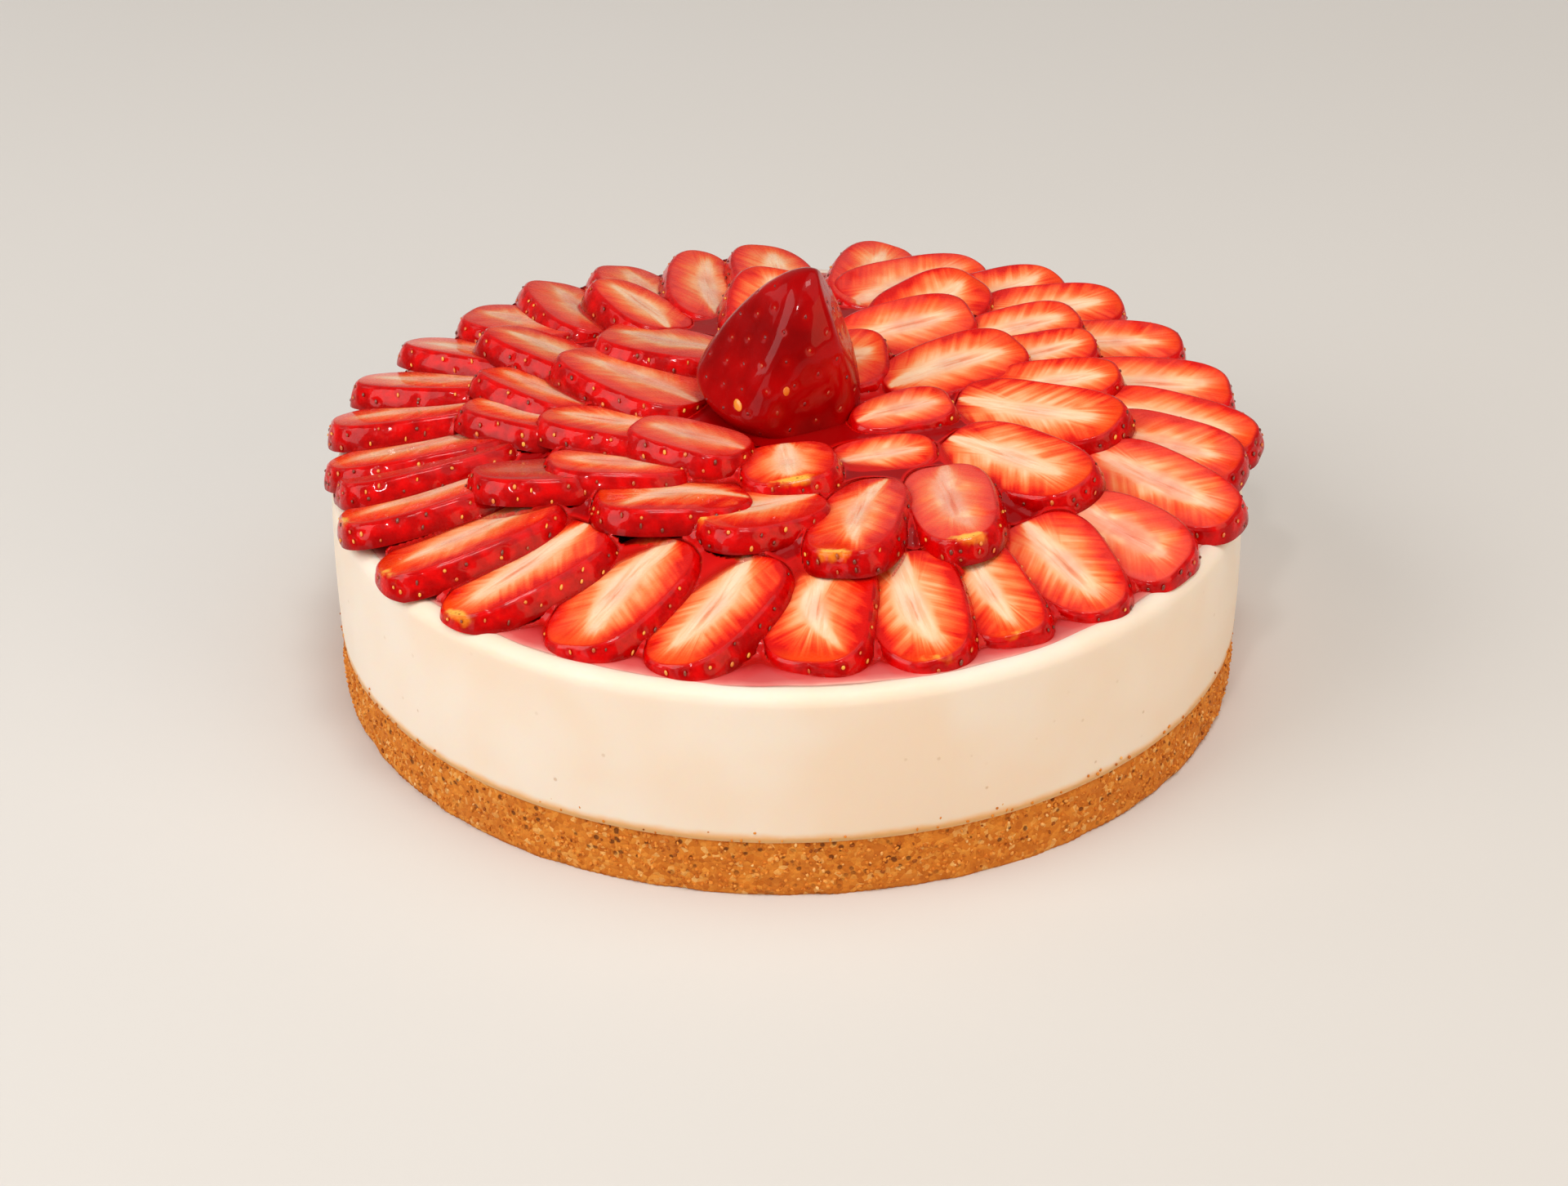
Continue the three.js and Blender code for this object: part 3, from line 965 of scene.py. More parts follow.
@dataclass
class CheeseFilling:
    """The baked filling: a smooth wall, a soft lip and a shallow hollow for the glaze.

    hollow_edge holds how far outside the hollow's radius and how high above its floor its edge
    runs, in millimetres. Inside even_radius the top is quite even.
    """

    foot: float = 13.1 * MM
    height: float = 47.5 * MM
    radius: float = 99.4 * MM
    fillet: float = 3.2 * MM
    belly: float = 0.3 * MM
    foot_inset: float = 3 * MM
    hollow: float = 0.4 * MM
    hollow_radius: float = 94.4 * MM
    hollow_edge: tuple[tuple[float, float], ...] = ((-1, 0), (0, 0.02), (0.8, 0.24), (1.5, 0.37))
    even_radius: float = 90 * MM
    even_fade: float = 5 * MM
    ridge_height: float = 43.6 * MM
    ridge_width: float = 0.55 * MM
    ridge_depth: float = 0.14 * MM
    lip_height: float = 47.0 * MM
    lip_width: float = 1.4 * MM
    sides: int = 320

    def profile(self) -> np.ndarray:
        """Radius and height from the middle of the top, round the lip, down to the foot."""
        floor = self.height - self.hollow
        points = [(radius * MM, floor) for radius in (20.0, 45.0, 65.0, 80.0, 88.0)]
        points += [(self.hollow_radius + out * MM, floor + rise * MM) for out, rise in self.hollow_edge]
        lip_foot = self.height - self.fillet
        points += arc((self.radius - self.fillet, lip_foot), self.fillet, 90, 0, 12)
        for share in np.linspace(0.06, 1.0, 26):
            radius = self.radius + self.belly * math.sin(math.pi * share)
            points.append((radius, lip_foot + (self.foot - lip_foot) * share))
        points.append((self.radius - self.foot_inset, self.foot))
        return np.array(points)

    def build(self) -> None:
        """Makes the filling."""
        profile = self.profile()
        angles, radii, heights = lathe(profile, self.sides)
        tall = heights / MM
        outside = np.clip((profile[:, :1] - self.even_radius) / self.even_fade, 0, 1)
        slow = waves(angles + tall * 0.01, [(3, 0.10, 0.4), (7, 0.07, 2.0), (12, 0.04, 0.9)])
        drag = 0.05 * np.sin(angles * 31 + tall * 0.12) * np.sin(angles * 19 + 0.4)
        ridge = np.exp(-(((heights - self.ridge_height) / self.ridge_width) ** 2))
        ridge = self.ridge_depth * ridge * (1 + np.sin(angles * 5 + 1.2)) / 2
        radii = radii + ((slow + drag) * MM - ridge) * outside
        lip = np.exp(-(((heights - self.lip_height) / self.lip_width) ** 2)) * outside
        heights = heights + lip * MM * waves(angles, [(6, 0.10, 1.0), (13, 0.07, 0.2), (29, 0.05, 2.6)])
        rings = round_places(angles, radii, heights)
        finish = CreamFinish(
            "baked_cream",
            specular=0.4,
            scatter=0.35,
            scatter_depth=(1.0, 0.62, 0.38),
            scatter_size=3.5 * MM,
        )
        mesh = make_mesh("filling", *closed_body(rings, (0, 0, profile[0, 1]), (0, 0, self.foot)))
        add_piece(mesh, finish, ["cheese_filling"])


class Draw:
    """One seeded sequence of numbers from 0 to 1."""

    FACTOR = 1664525
    OFFSET = 1013904223
    RANGE = 2**32

    def __init__(self, seed: int) -> None:
        """Starts the sequence."""
        self.state = seed

    def next(self) -> float:
        """The next number."""
        self.state = (self.state * self.FACTOR + self.OFFSET) % self.RANGE
        return self.state / self.RANGE

    def between(self, low: float, high: float) -> float:
        """The next number, between two bounds."""
        return low + (high - low) * self.next()


@dataclass(frozen=True)
class SliceLook:
    """What sets one slice's looks apart: ripeness, glaze with its painted pinkish sheen, gold spots, bent
    core, streaks.
    """

    ripe: float = 0.5
    glaze: float = 0.0
    gold: float = 0.0
    bend: float = 0.0
    streaky: float = 0.5


@dataclass
class Slice:
    """One strawberry slice, cut lengthwise and lying with its cut face up."""

    node: str
    ring: Ring
    middle: np.ndarray
    turn: np.ndarray
    rank: float
    length: float
    width: float
    taper: float
    thickness: float
    bend: float
    lump_turn: float
    look: SliceLook
    flare: float = 1.8 * MM
    flare_power: float = 1.836
    rim_round: float = 0.42 * MM
    squareness: float = 0.05
    lump: float = 0.022
    skim: float = 0.02 * MM
    under_inset: float = 0.5 * MM
    seed_spacing: float = 5.6 * MM
    seed_levels: tuple[float, float] = (0.3, 0.7)
    pit_radius: float = 0.85 * MM
    pit_depth: float = 0.34 * MM
    core_reach_tip: float = 0.66
    core_reach_stem: float = 0.94
    gold_radius: float = 2.1 * MM

    @property
    def azimuth(self) -> float:
        """Where round the cake the slice lies."""
        return math.atan2(self.middle[1], self.middle[0])

    def _blunt(self, angle: np.ndarray) -> np.ndarray:
        """How far the outline stands from a plain oval, as a factor."""
        return 1 - self.squareness * np.cos(4 * angle) + self.lump * np.cos(3 * angle + self.lump_turn)

    def outline(self, angle: np.ndarray, grow: np.ndarray | float) -> tuple[np.ndarray, np.ndarray]:
        """Along and across of the outline, grown outwards by a distance."""
        blunt = self._blunt(angle)
        across = blunt * np.sin(angle) * (1 - self.taper * np.cos(angle)) + self.bend * np.cos(angle) ** 2
        return (self.length / 2 + grow) * blunt * np.cos(angle), (self.width / 2 + grow) * across

    def flare_at(self, depth: np.ndarray) -> np.ndarray:
        """How far the skin stands outside the cut face at a depth below it."""
        share = np.clip(depth / self.thickness, 0, 1)
        return self.flare * (1 - (1 - share) ** self.flare_power)

    def to_world(self, local: np.ndarray) -> np.ndarray:
        """Places of the slice's own axes in the cake's frame."""
        return local @ self.turn.T + self.middle

    def to_local(self, world: np.ndarray) -> np.ndarray:
        """Places of the cake's frame in the slice's own axes."""
        return (world - self.middle) @ self.turn

    def shares(self, local: np.ndarray, grow: np.ndarray | float = 0.0) -> tuple[np.ndarray, np.ndarray]:
        """Turn round the slice and share of the way to its outline, for places of its own axes.

        Args:
            local: Rows of along, across and up.
            grow: How much wider than the cut face the outline is taken.

        Returns:
            The angle of the outline's formula, and the share, 1 on the outline.
        """
        along = local[:, 0] / (self.length / 2 + grow)
        across = local[:, 1] / (self.width / 2 + grow)
        angle = np.arctan2(across, along)
        share = np.hypot(across, along)
        for _ in range(5):
            straight = across - share * self.bend * np.cos(angle) ** 2
            straight = straight / (1 - self.taper * np.cos(angle))
            angle = np.arctan2(straight, along)
            share = np.hypot(along, straight) / self._blunt(angle)
        return angle, share

    def heights(self, x: np.ndarray, y: np.ndarray) -> np.ndarray:
        """Height of the slice's upper side above each place, and below zero beside it."""
        normal = self.turn[:, 2]
        sideways = normal[0] * (x - self.middle[0]) + normal[1] * (y - self.middle[1])
        level = self.middle[2] - sideways / normal[2]

        def inside(height: np.ndarray) -> np.ndarray:
            """Whether the places at these heights are in the slice."""
            return self.holds(np.stack([x, y, height], -1), 0.0)

        under_face = inside(level - self.skim)
        low = level - (self.thickness - self.skim) / normal[2]
        found = inside(low)
        high = level.copy()
        for _ in range(7):
            middle = (low + high) / 2
            hit = inside(middle)
            low = np.where(hit, middle, low)
            high = np.where(hit, high, middle)
        return np.where(under_face, level, np.where(found, low, -1.0))

    def holds(self, world: np.ndarray, margin: float) -> np.ndarray:
        """Which places lie inside the slice grown by a margin."""
        local = self.to_local(world)
        depth = -local[:, 2]
        inside = (depth > -margin) & (depth < self.thickness + margin)
        _, share = self.shares(local, self.flare_at(np.clip(depth, 0, None)) + margin)
        return inside & (share < 1)

    def _rows(self, fine: bool, margin: float) -> list[tuple[float, float, float]]:
        """Rows of share, growth and depth from the middle of the face round to the underside."""
        rows: list[tuple[float, float, float]] = []
        inner = (0.12, 0.26, 0.4, 0.54, 0.67, 0.78, 0.87, 0.94) if fine else (0.5,)
        rows += [(share, 0.0, -margin) for share in inner]
        edge = self.rim_round
        steps = 5 if fine else 2
        for step in range(steps):
            bent = math.pi / 2 * step / steps
            rows.append((1.0, margin - edge * (1 - math.sin(bent)), edge * (1 - math.cos(bent)) - margin))
        walls = 11 if fine else 4
        for step in range(walls + 1):
            depth = edge + (self.thickness - edge) * step / walls
            grow = float(self.flare_at(np.array(depth)))
            rows.append((1.0, margin + grow, depth + (margin if step == walls else 0.0)))
        last = self.thickness + margin
        rows.append((1.0, margin + self.flare - self.under_inset, last + self.skim))
        rows += [(share, margin, last + self.skim) for share in ((0.7, 0.35) if fine else (0.5,))]
        return rows

    def mesh_data(
        self, sides: int, fine: bool, margin: float, pits: np.ndarray
    ) -> tuple[np.ndarray, list[tuple[int, ...]]]:
        """Vertices in the cake's frame and faces of the uncut slice.

        Args:
            sides: Steps round.
            fine: Whether it has the rows and the unevenness of a finished slice.
            margin: How much it is grown.
            pits: Places of seeds in the slice's own axes, which get a pit each.

        Returns:
            Vertices and faces.
        """
        angle = turns(sides)
        rows = self._rows(fine, margin)
        rings = []
        for share, grow, depth in rows:
            along, across = self.outline(angle, grow)
            rings.append(np.stack([along * share, across * share, np.full_like(angle, -depth)], -1))
        local, faces = closed_body(rings, (0, 0, -rows[0][2]), (0, 0, -rows[-1][2]))
        if fine:
            local = self._uneven(local)
            local = self._pitted(local, pits)
        return self.to_world(local), faces

    def _uneven(self, local: np.ndarray) -> np.ndarray:
        """Sinks the core a little and lets the face wave, as a knife and moisture leave it."""
        angle, share = self.shares(local)
        face = np.clip(1 + local[:, 2] / (0.5 * MM), 0, 1)
        phase = self.middle[0] / MM + 3 * self.middle[1] / MM
        sink = -0.16 * MM * (1 - np.clip(share / 0.45, 0, 1) ** 2)
        wave = 0.07 * MM * np.sin(3 * angle + phase) * np.clip(share, 0, 1) ** 2
        crown = -0.12 * MM * np.clip(share, 0, 1) ** 6
        out = local.copy()
        out[:, 2] += face * (sink + wave + crown)
        return out

    def _pitted(self, local: np.ndarray, pits: np.ndarray) -> np.ndarray:
        """Presses a small round pit into the skin at each seed."""
        out = local.copy()
        wall = local[:, 2] < -0.5 * MM
        side = local[wall]
        pull = np.zeros(len(side))
        for pit in pits:
            far = np.linalg.norm(side - pit, axis=1)
            pull = np.maximum(pull, np.exp(-((far / self.pit_radius) ** 2)))
        lengths = np.hypot(side[:, 0], side[:, 1])[:, None]
        inward = -side[:, :2] / np.maximum(lengths, 1e-6)
        out[wall, :2] += inward * (pull * self.pit_depth)[:, None]
        return out

    def seed_places(self, draw: Draw) -> tuple[np.ndarray, np.ndarray]:
        """Seeds in two staggered rows round the skin.

        Args:
            draw: The sequence that unsettles them.

        Returns:
            Their places and the way they face, in the slice's own axes.
        """
        places = []
        facings = []
        rim = math.pi * (self.length + self.width) / 2
        count = max(10, int(rim / self.seed_spacing))
        for row, level in enumerate(self.seed_levels):
            for index in range(count):
                angle = FULL_TURN * (index + 0.5 * row + draw.between(-0.32, 0.32)) / count
                depth = self.thickness * (level + draw.between(-0.14, 0.14))
                at = np.array([angle, angle + 0.02])
                grow = float(self.flare_at(np.array(depth)))
                along, across = self.outline(at, grow)
                tangent = np.array([along[1] - along[0], across[1] - across[0], 0.0])
                outward = np.cross(tangent, [0, 0, 1.0])
                outward /= np.linalg.norm(outward)
                left = 1 - depth / self.thickness
                slope = self.flare * self.flare_power / self.thickness * left ** (self.flare_power - 1)
                facing = outward + np.array([0, 0, slope])
                places.append([along[0], across[0], -depth])
                facings.append(facing / np.linalg.norm(facing))
        return np.array(places), np.array(facings)

    def attributes(self, mesh: bpy.types.Mesh) -> dict[str, np.ndarray]:
        """What the flesh finish reads, for each vertex of the finished mesh."""
        local = self.to_local(places_of(mesh))
        angle, share = self.shares(local)
        spoke = np.stack([np.cos(angle), np.sin(angle), share], -1)
        radius = np.hypot(np.cos(angle) * self.length / 2, np.sin(angle) * self.width / 2)
        rim = np.clip(1 - share, 0, None) * radius / MM
        along = local[:, 0] / (self.length / 2)
        across = local[:, 1] / (self.width / 2)
        line = self.look.bend * (np.abs(along + 0.15) ** 1.5 - 0.2) + self.bend * along**2
        reach = np.where(along > 0, self.core_reach_tip, self.core_reach_stem)
        half = 0.2 + 0.04 * math.sin(self.lump_turn)
        core_along = along / reach
        core_across = (across - line) / half
        size = np.hypot(core_along, core_across)
        turn_along = core_along / np.maximum(size, 1e-6) * reach * self.length / 2
        turn_across = core_across / np.maximum(size, 1e-6) * half * self.width / 2
        outside = (size - 1) * np.hypot(turn_along, turn_across) / MM
        from_core = np.where(size < 1, (size - 1) * 0.5, outside / (outside.clip(0) + rim + 1e-3))
        depth = -local[:, 2] / MM
        flesh = np.stack([rim, np.clip(from_core, -1, 1), depth], -1)
        look = np.empty((len(local), 3))
        look[:] = (self.look.ripe, self.look.glaze, self.look.streaky)
        ripest = np.array([self.length / 2 - 1.2 * MM, 1.5 * MM * math.cos(self.lump_turn), 0])
        far = np.linalg.norm((local - ripest) * (1.5, 0.5, 1.0), axis=1)
        gold = self.look.gold * np.exp(-((far / self.gold_radius) ** 2))
        return {"spoke": spoke, "flesh": flesh, "look": look, "gold": gold, "place": local / MM}


OUTER_ROWS = [
    [4, -92, 8, -58, 23, 7], [29, -91, 21, -57, 22, 8], [46, -82, 35, -53, 18, 9],
    [65, -71, 48, -44, 22, 10], [82, -55, 58, -36, 22, 12], [94, -37, 65, -14, 21, 12],
    [98, -15, 66, -4, 22, 12], [103, -5, 67, 8, 20, 12], [100, 18, 62, 20, 20, 12],
    [91, 43, 54, 37, 18, 12], [79, 64, 46, 52, 20, 12], [65, 78, 38, 56, 20, 12],
    [47, 85, 14, 59, 22, 12], [25, 97, 16, 58, 19, 12], [-5, 96, 2, 56, 22, 12],
    [-21, 93, -16, 50, 20, 14], [-41, 85, -24, 52, 22, 16], [-57, 76, -40, 44, 22, 16],
    [-75, 59, -45, 47, 24, 11], [-87, 44, -53, 31, 20, 16], [-97, 24, -60, 21, 23, 16],
    [-100, 3, -59, 14, 23, 16], [-99, -15, -60, -1, 23, 16], [-97, -21, -59, -5, 23, 16],
    [-94, -37, -58, -20, 23, 16], [-84, -56, -49, -34, 23, 14], [-68, -72, -40, -44, 23, 12],
    [-44, -85, -24, -50, 23, 9], [-24, -92, -6, -57, 22, 9],
]
MIDDLE_ROWS = [
    [-19, -51, 7, -37, 24, 8], [10, -67, 19, -29, 19, 8], [36, -61, 32, -23, 19, 8],
    [62, -37, 34, -10, 22, 12], [72, -10, 36, 6, 22, 12], [74, 16, 46, 9, 17, 12],
    [70, 32, 45, 22, 16, 12], [67, 45, 40, 35, 16, 12], [45, 65, 24, 41, 22, 12],
    [-3, 71, -1, 29, 24, 12], [-42, 65, -25, 41, 18, 14], [-66, 40, -42, 22, 20, 16],
    [-66, 19, -43, 3, 20, 18], [-70, 2, -44, -4, 22, 14], [-66, -31, -38, -24, 20, 14],
    [-40, -42, -8, -35, 26, 12],
]
INNER_ROWS = [
    [1, -37, -1, -16, 21, 6, 60.4], [32, -17.5, 9, -22, 13, 12, 58.6], [36, 1, 14, -7, 13, 10],
    [36, 14, 14, 9, 18, 10, 58], [53, 27, 21, 10, 19, 12], [23, 20, 0, 18, 22, 10, 62],
    [43, 44, 12, 32, 20, 12], [-42, 36, -12, 28, 24, 12, 60.3], [-49, 24, -18, 2, 25, 12],
    [-53, -6, -24, -10, 22, 12], [-33, -12, -8, -22, 20, 10, 62], [-51, -26, -20, -24, 20, 12, 60],
]


@dataclass(frozen=True)
class RingPlan:
    """One ring of slices: its name, rows, height of the cut faces and droop in degrees.

    A row holds the tip's x and y, the stem end's x and y, the width, the tilt in degrees and, for
    some slices, a height of its own. front_drop is how far the front tips hang down.
    """

    ring: Ring
    name: str
    rows: list[list[float]]
    height: float
    droop: float
    front_drop: float = 0.0


@dataclass
class StrawberryTopping:
    """The rings of overlapping slices."""

    sides: int = 144
    cutter_sides: int = 56
    ground: float = 47.2 * MM
    bite: float = 0.12 * MM
    base_thickness: float = 5.5 * MM
    thickness_spread: float = 0.6 * MM
    taper_low: float = -0.06
    taper_spread: float = 0.28
    bend_spread: float = 0.22
    front_drop_reach: float = 68 * MM

    def plans(self) -> list[RingPlan]:
        """The three rings, from the rim inwards."""
        return [
            RingPlan(Ring.OUTER, "outer", OUTER_ROWS, 55.5 * MM, 2, 4.9 * MM),
            RingPlan(Ring.MIDDLE, "middle", MIDDLE_ROWS, 59.5 * MM, -4),
            RingPlan(Ring.INNER, "inner", INNER_ROWS, 61.0 * MM, -4),
        ]

    def looks(self) -> dict[str, SliceLook]:
        """The slices that differ from their neighbours in the photo."""
        return {
            "outer_01": SliceLook(ripe=0.7, bend=0.8, streaky=0.8),
            "outer_02": SliceLook(ripe=0.62, glaze=0.1, gold=0.5, bend=0.2, streaky=0.9),
            "outer_03": SliceLook(ripe=0.55, glaze=0.1, gold=0.4, streaky=0.9),
            "outer_04": SliceLook(ripe=0.45, glaze=0.3, streaky=0.9),
            # On outer_05 to outer_07 and middle_03 the glaze also stands for a painted pinkish reflection
            # on the face.
            "outer_05": SliceLook(ripe=0.5, glaze=0.6, streaky=0.8),
            "outer_06": SliceLook(ripe=0.55, glaze=0.45, streaky=0.9),
            "outer_07": SliceLook(ripe=0.6, glaze=0.45, streaky=0.9),
            "outer_24": SliceLook(ripe=0.9, glaze=0.9),
            "outer_25": SliceLook(ripe=0.65, glaze=0.3, gold=0.7, streaky=0.3),
            "outer_26": SliceLook(ripe=0.6, glaze=0.2, gold=0.6, streaky=0.4),
            "outer_27": SliceLook(ripe=0.45, gold=1.0, streaky=0.6),
            "outer_28": SliceLook(ripe=0.55, glaze=0.1, bend=0.3, streaky=0.6),
            "outer_29": SliceLook(ripe=0.45, bend=-0.3, streaky=0.7),
            "middle_01": SliceLook(ripe=0.7, glaze=0.2, gold=1.0, streaky=0.6),
            "middle_02": SliceLook(ripe=0.8, glaze=0.3, gold=1.0, bend=0.4, streaky=0.6),
            "middle_03": SliceLook(ripe=0.45, glaze=0.6, gold=1.0, bend=0.3, streaky=0.4),
            "middle_04": SliceLook(ripe=0.4, streaky=1.0),
            "middle_05": SliceLook(ripe=0.35, streaky=1.0),
            "middle_15": SliceLook(ripe=0.95, glaze=1.0),
            "middle_16": SliceLook(ripe=0.7, glaze=0.1, bend=0.8, streaky=0.8),
            "inner_01": SliceLook(ripe=0.75, glaze=0.2, gold=1.1, streaky=0.6),
            "inner_11": SliceLook(ripe=0.85, glaze=0.6),
        }

    def slices(self) -> list[Slice]:
        """Every slice where its solid lies."""
        draw = Draw(29)
        mood = Draw(7)
        looks = self.looks()
        made = []
        for plan in self.plans():
            for index, row in enumerate(plan.rows):
                name = f"{plan.name}_{index + 1:02d}"
                tip = np.array(row[0:2]) * MM
                stem = np.array(row[2:4]) * MM
                run = tip - stem
                level = float(np.linalg.norm(run))
                dip = plan.front_drop * float(np.clip(-tip[1] / self.front_drop_reach, 0, 1))
                slope = math.radians(plan.droop) + math.atan2(dip, level)
                tilt = math.radians(row[5])
                heading = math.atan2(run[1], run[0])
                turn = Euler((tilt, slope, heading), "XYZ").to_matrix()
                height = row[6] * MM if len(row) > 6 else plan.height
                taper = self.taper_low + self.taper_spread * draw.next()
                thickness = self.base_thickness + self.thickness_spread * (draw.next() - 0.5)
                bend = self.bend_spread * (draw.next() - 0.5)
                lump_turn = FULL_TURN * draw.next()
                to_left = float(np.clip(-tip[0] / (60 * MM), 0, 1))
                usual = SliceLook(
                    ripe=mood.between(0.42, 0.75),
                    glaze=mood.between(0.05, 0.4) + 0.2 * to_left,
                    bend=mood.between(-0.3, 0.3),
                    streaky=mood.between(0.5, 0.9) - 0.2 * to_left,
                )
                made.append(
                    Slice(
                        node=f"slice_{name}",
                        ring=plan.ring,
                        middle=np.array([*((tip + stem) / 2), height - dip / 2]),
                        turn=np.array(turn),
                        rank=height,
                        length=level / math.cos(slope),
                        width=row[4] * MM,
                        taper=taper,
                        thickness=thickness,
                        bend=bend,
                        lump_turn=lump_turn,
                        look=looks.get(name, usual),
                    )
                )
        return made

    @staticmethod
    def lies_on(upper: Slice, lower: Slice) -> bool:
        """Whether one slice lies on the other, by the rule that the solids follow."""
        if upper.ring is not lower.ring:
            return upper.ring.value > lower.ring.value
        rise = upper.rank - lower.rank
        if abs(rise) > 0.5 * MM:
            return rise > 0
        return (lower.azimuth - upper.azimuth) % FULL_TURN < math.pi

    def build(self, berry: "WholeStrawberry") -> list[Slice]:
        """Makes all slices and their seeds.

        Args:
            berry: The whole strawberry, which is cut out of the slices that it stands on.

        Returns:
            The slices.
        """
        slices = self.slices()
        draw = Draw(101)
        finish = FleshFinish(
            "strawberry_flesh",
            coat_roughness=0.05,
            coat_ior=1.34,
            specular=0.06,
            scatter=0.1,
            scatter_depth=(1.0, 0.25, 0.12),
            scatter_size=1.6 * MM,
        ).build()
        cutters = {}
        for one in slices:
            places, faces = one.mesh_data(self.cutter_sides, False, -self.bite, np.empty((0, 3)))
            cutters[one.node] = link_object("cutter_" + one.node, make_mesh("cutter", places, faces))
        ground = self._ground()
        core = berry.cutter()
        seeds = []
        facings = []
        jobs = []
        for one in slices:
            above = [other for other in slices if other is not one and self.lies_on(other, one)]
            above = [other for other in above if np.linalg.norm(other.middle - one.middle) < 50 * MM]
            pits, outward = one.seed_places(draw)
            world = one.to_world(pits)
            free = world[:, 2] > self.ground + 0.8 * MM
            for other in above:
                free &= ~other.holds(world, 0.5 * MM)
            seeds.append(world[free])
            facings.append((outward @ one.turn.T)[free])
            places, faces = one.mesh_data(self.sides, True, 0.0, pits[free])
            name = one.node.removeprefix("slice_") + "_slice"
            piece = link_object(name, make_mesh(one.node, places, faces))
            tools = bpy.data.collections.new("tools_" + one.node)
            bpy.context.scene.collection.children.link(tools)
            for tool in [ground, core, *(cutters[other.node] for other in above)]:
                tools.objects.link(tool)
            cut = piece.modifiers.new("cut", "BOOLEAN")
            cut.operation = "DIFFERENCE"
            cut.solver = "MANIFOLD"
            cut.operand_type = "COLLECTION"
            cut.collection = tools
            jobs.append((one, piece, tools))
        graph = bpy.context.evaluated_depsgraph_get()
        finished = [bpy.data.meshes.new_from_object(piece.evaluated_get(graph)) for _, piece, _ in jobs]
        for (one, piece, tools), mesh in zip(jobs, finished):
            piece.modifiers.clear()
            piece.data = mesh
            keep_largest(mesh)
            mesh.shade_smooth()
            mesh.set_sharp_from_angle(angle=math.radians(48))
            set_attributes(mesh, one.attributes(mesh))
            dress(piece, finish)
            bpy.data.collections.remove(tools)
            settle(piece, [one.node])
        for tool in [ground, core, *cutters.values()]:
            bpy.data.objects.remove(tool)
        seed = SmallBody(1.0 * MM, 0.62 * MM, 0.45 * MM, unevenness=0.3, seed=5, subdivisions=2)
        material = SeedFinish("seed", roughness=0.35, coat=0.8, coat_roughness=0.08).build()
        stand_bodies("slice_seeds", np.concatenate(seeds), np.concatenate(facings), seed, material)
        return slices

    def _ground(self) -> bpy.types.Object:
        """A block up to the height that slices sink to."""
        reach = 0.3
        low = -0.02
        corners = [(x, y, z) for z in (low, self.ground) for y in (-reach, reach) for x in (-reach, reach)]
        faces = [(0, 2, 3, 1), (4, 5, 7, 6), (0, 1, 5, 4), (2, 6, 7, 3), (0, 4, 6, 2), (1, 3, 7, 5)]
        return link_object("ground_block", make_mesh("ground_block", np.array(corners), faces))


def keep_largest(mesh: bpy.types.Mesh) -> None:
    """Deletes every loose part of a mesh but the one with the most vertices."""
    work = bmesh.new()
    work.from_mesh(mesh)
    left = set(work.verts)
    parts = []
    while left:
        start = left.pop()
        part = {start}
        edge = [start]
        while edge:
            vertex = edge.pop()
            for link in vertex.link_edges:
                other = link.other_vert(vertex)
                if other in left:
                    left.discard(other)
                    part.add(other)
                    edge.append(other)
        parts.append(part)
    parts.sort(key=len)
    loose = [vertex for part in parts[:-1] for vertex in part]
    bmesh.ops.delete(work, geom=loose, context="VERTS")
    work.to_mesh(mesh)
    work.free()


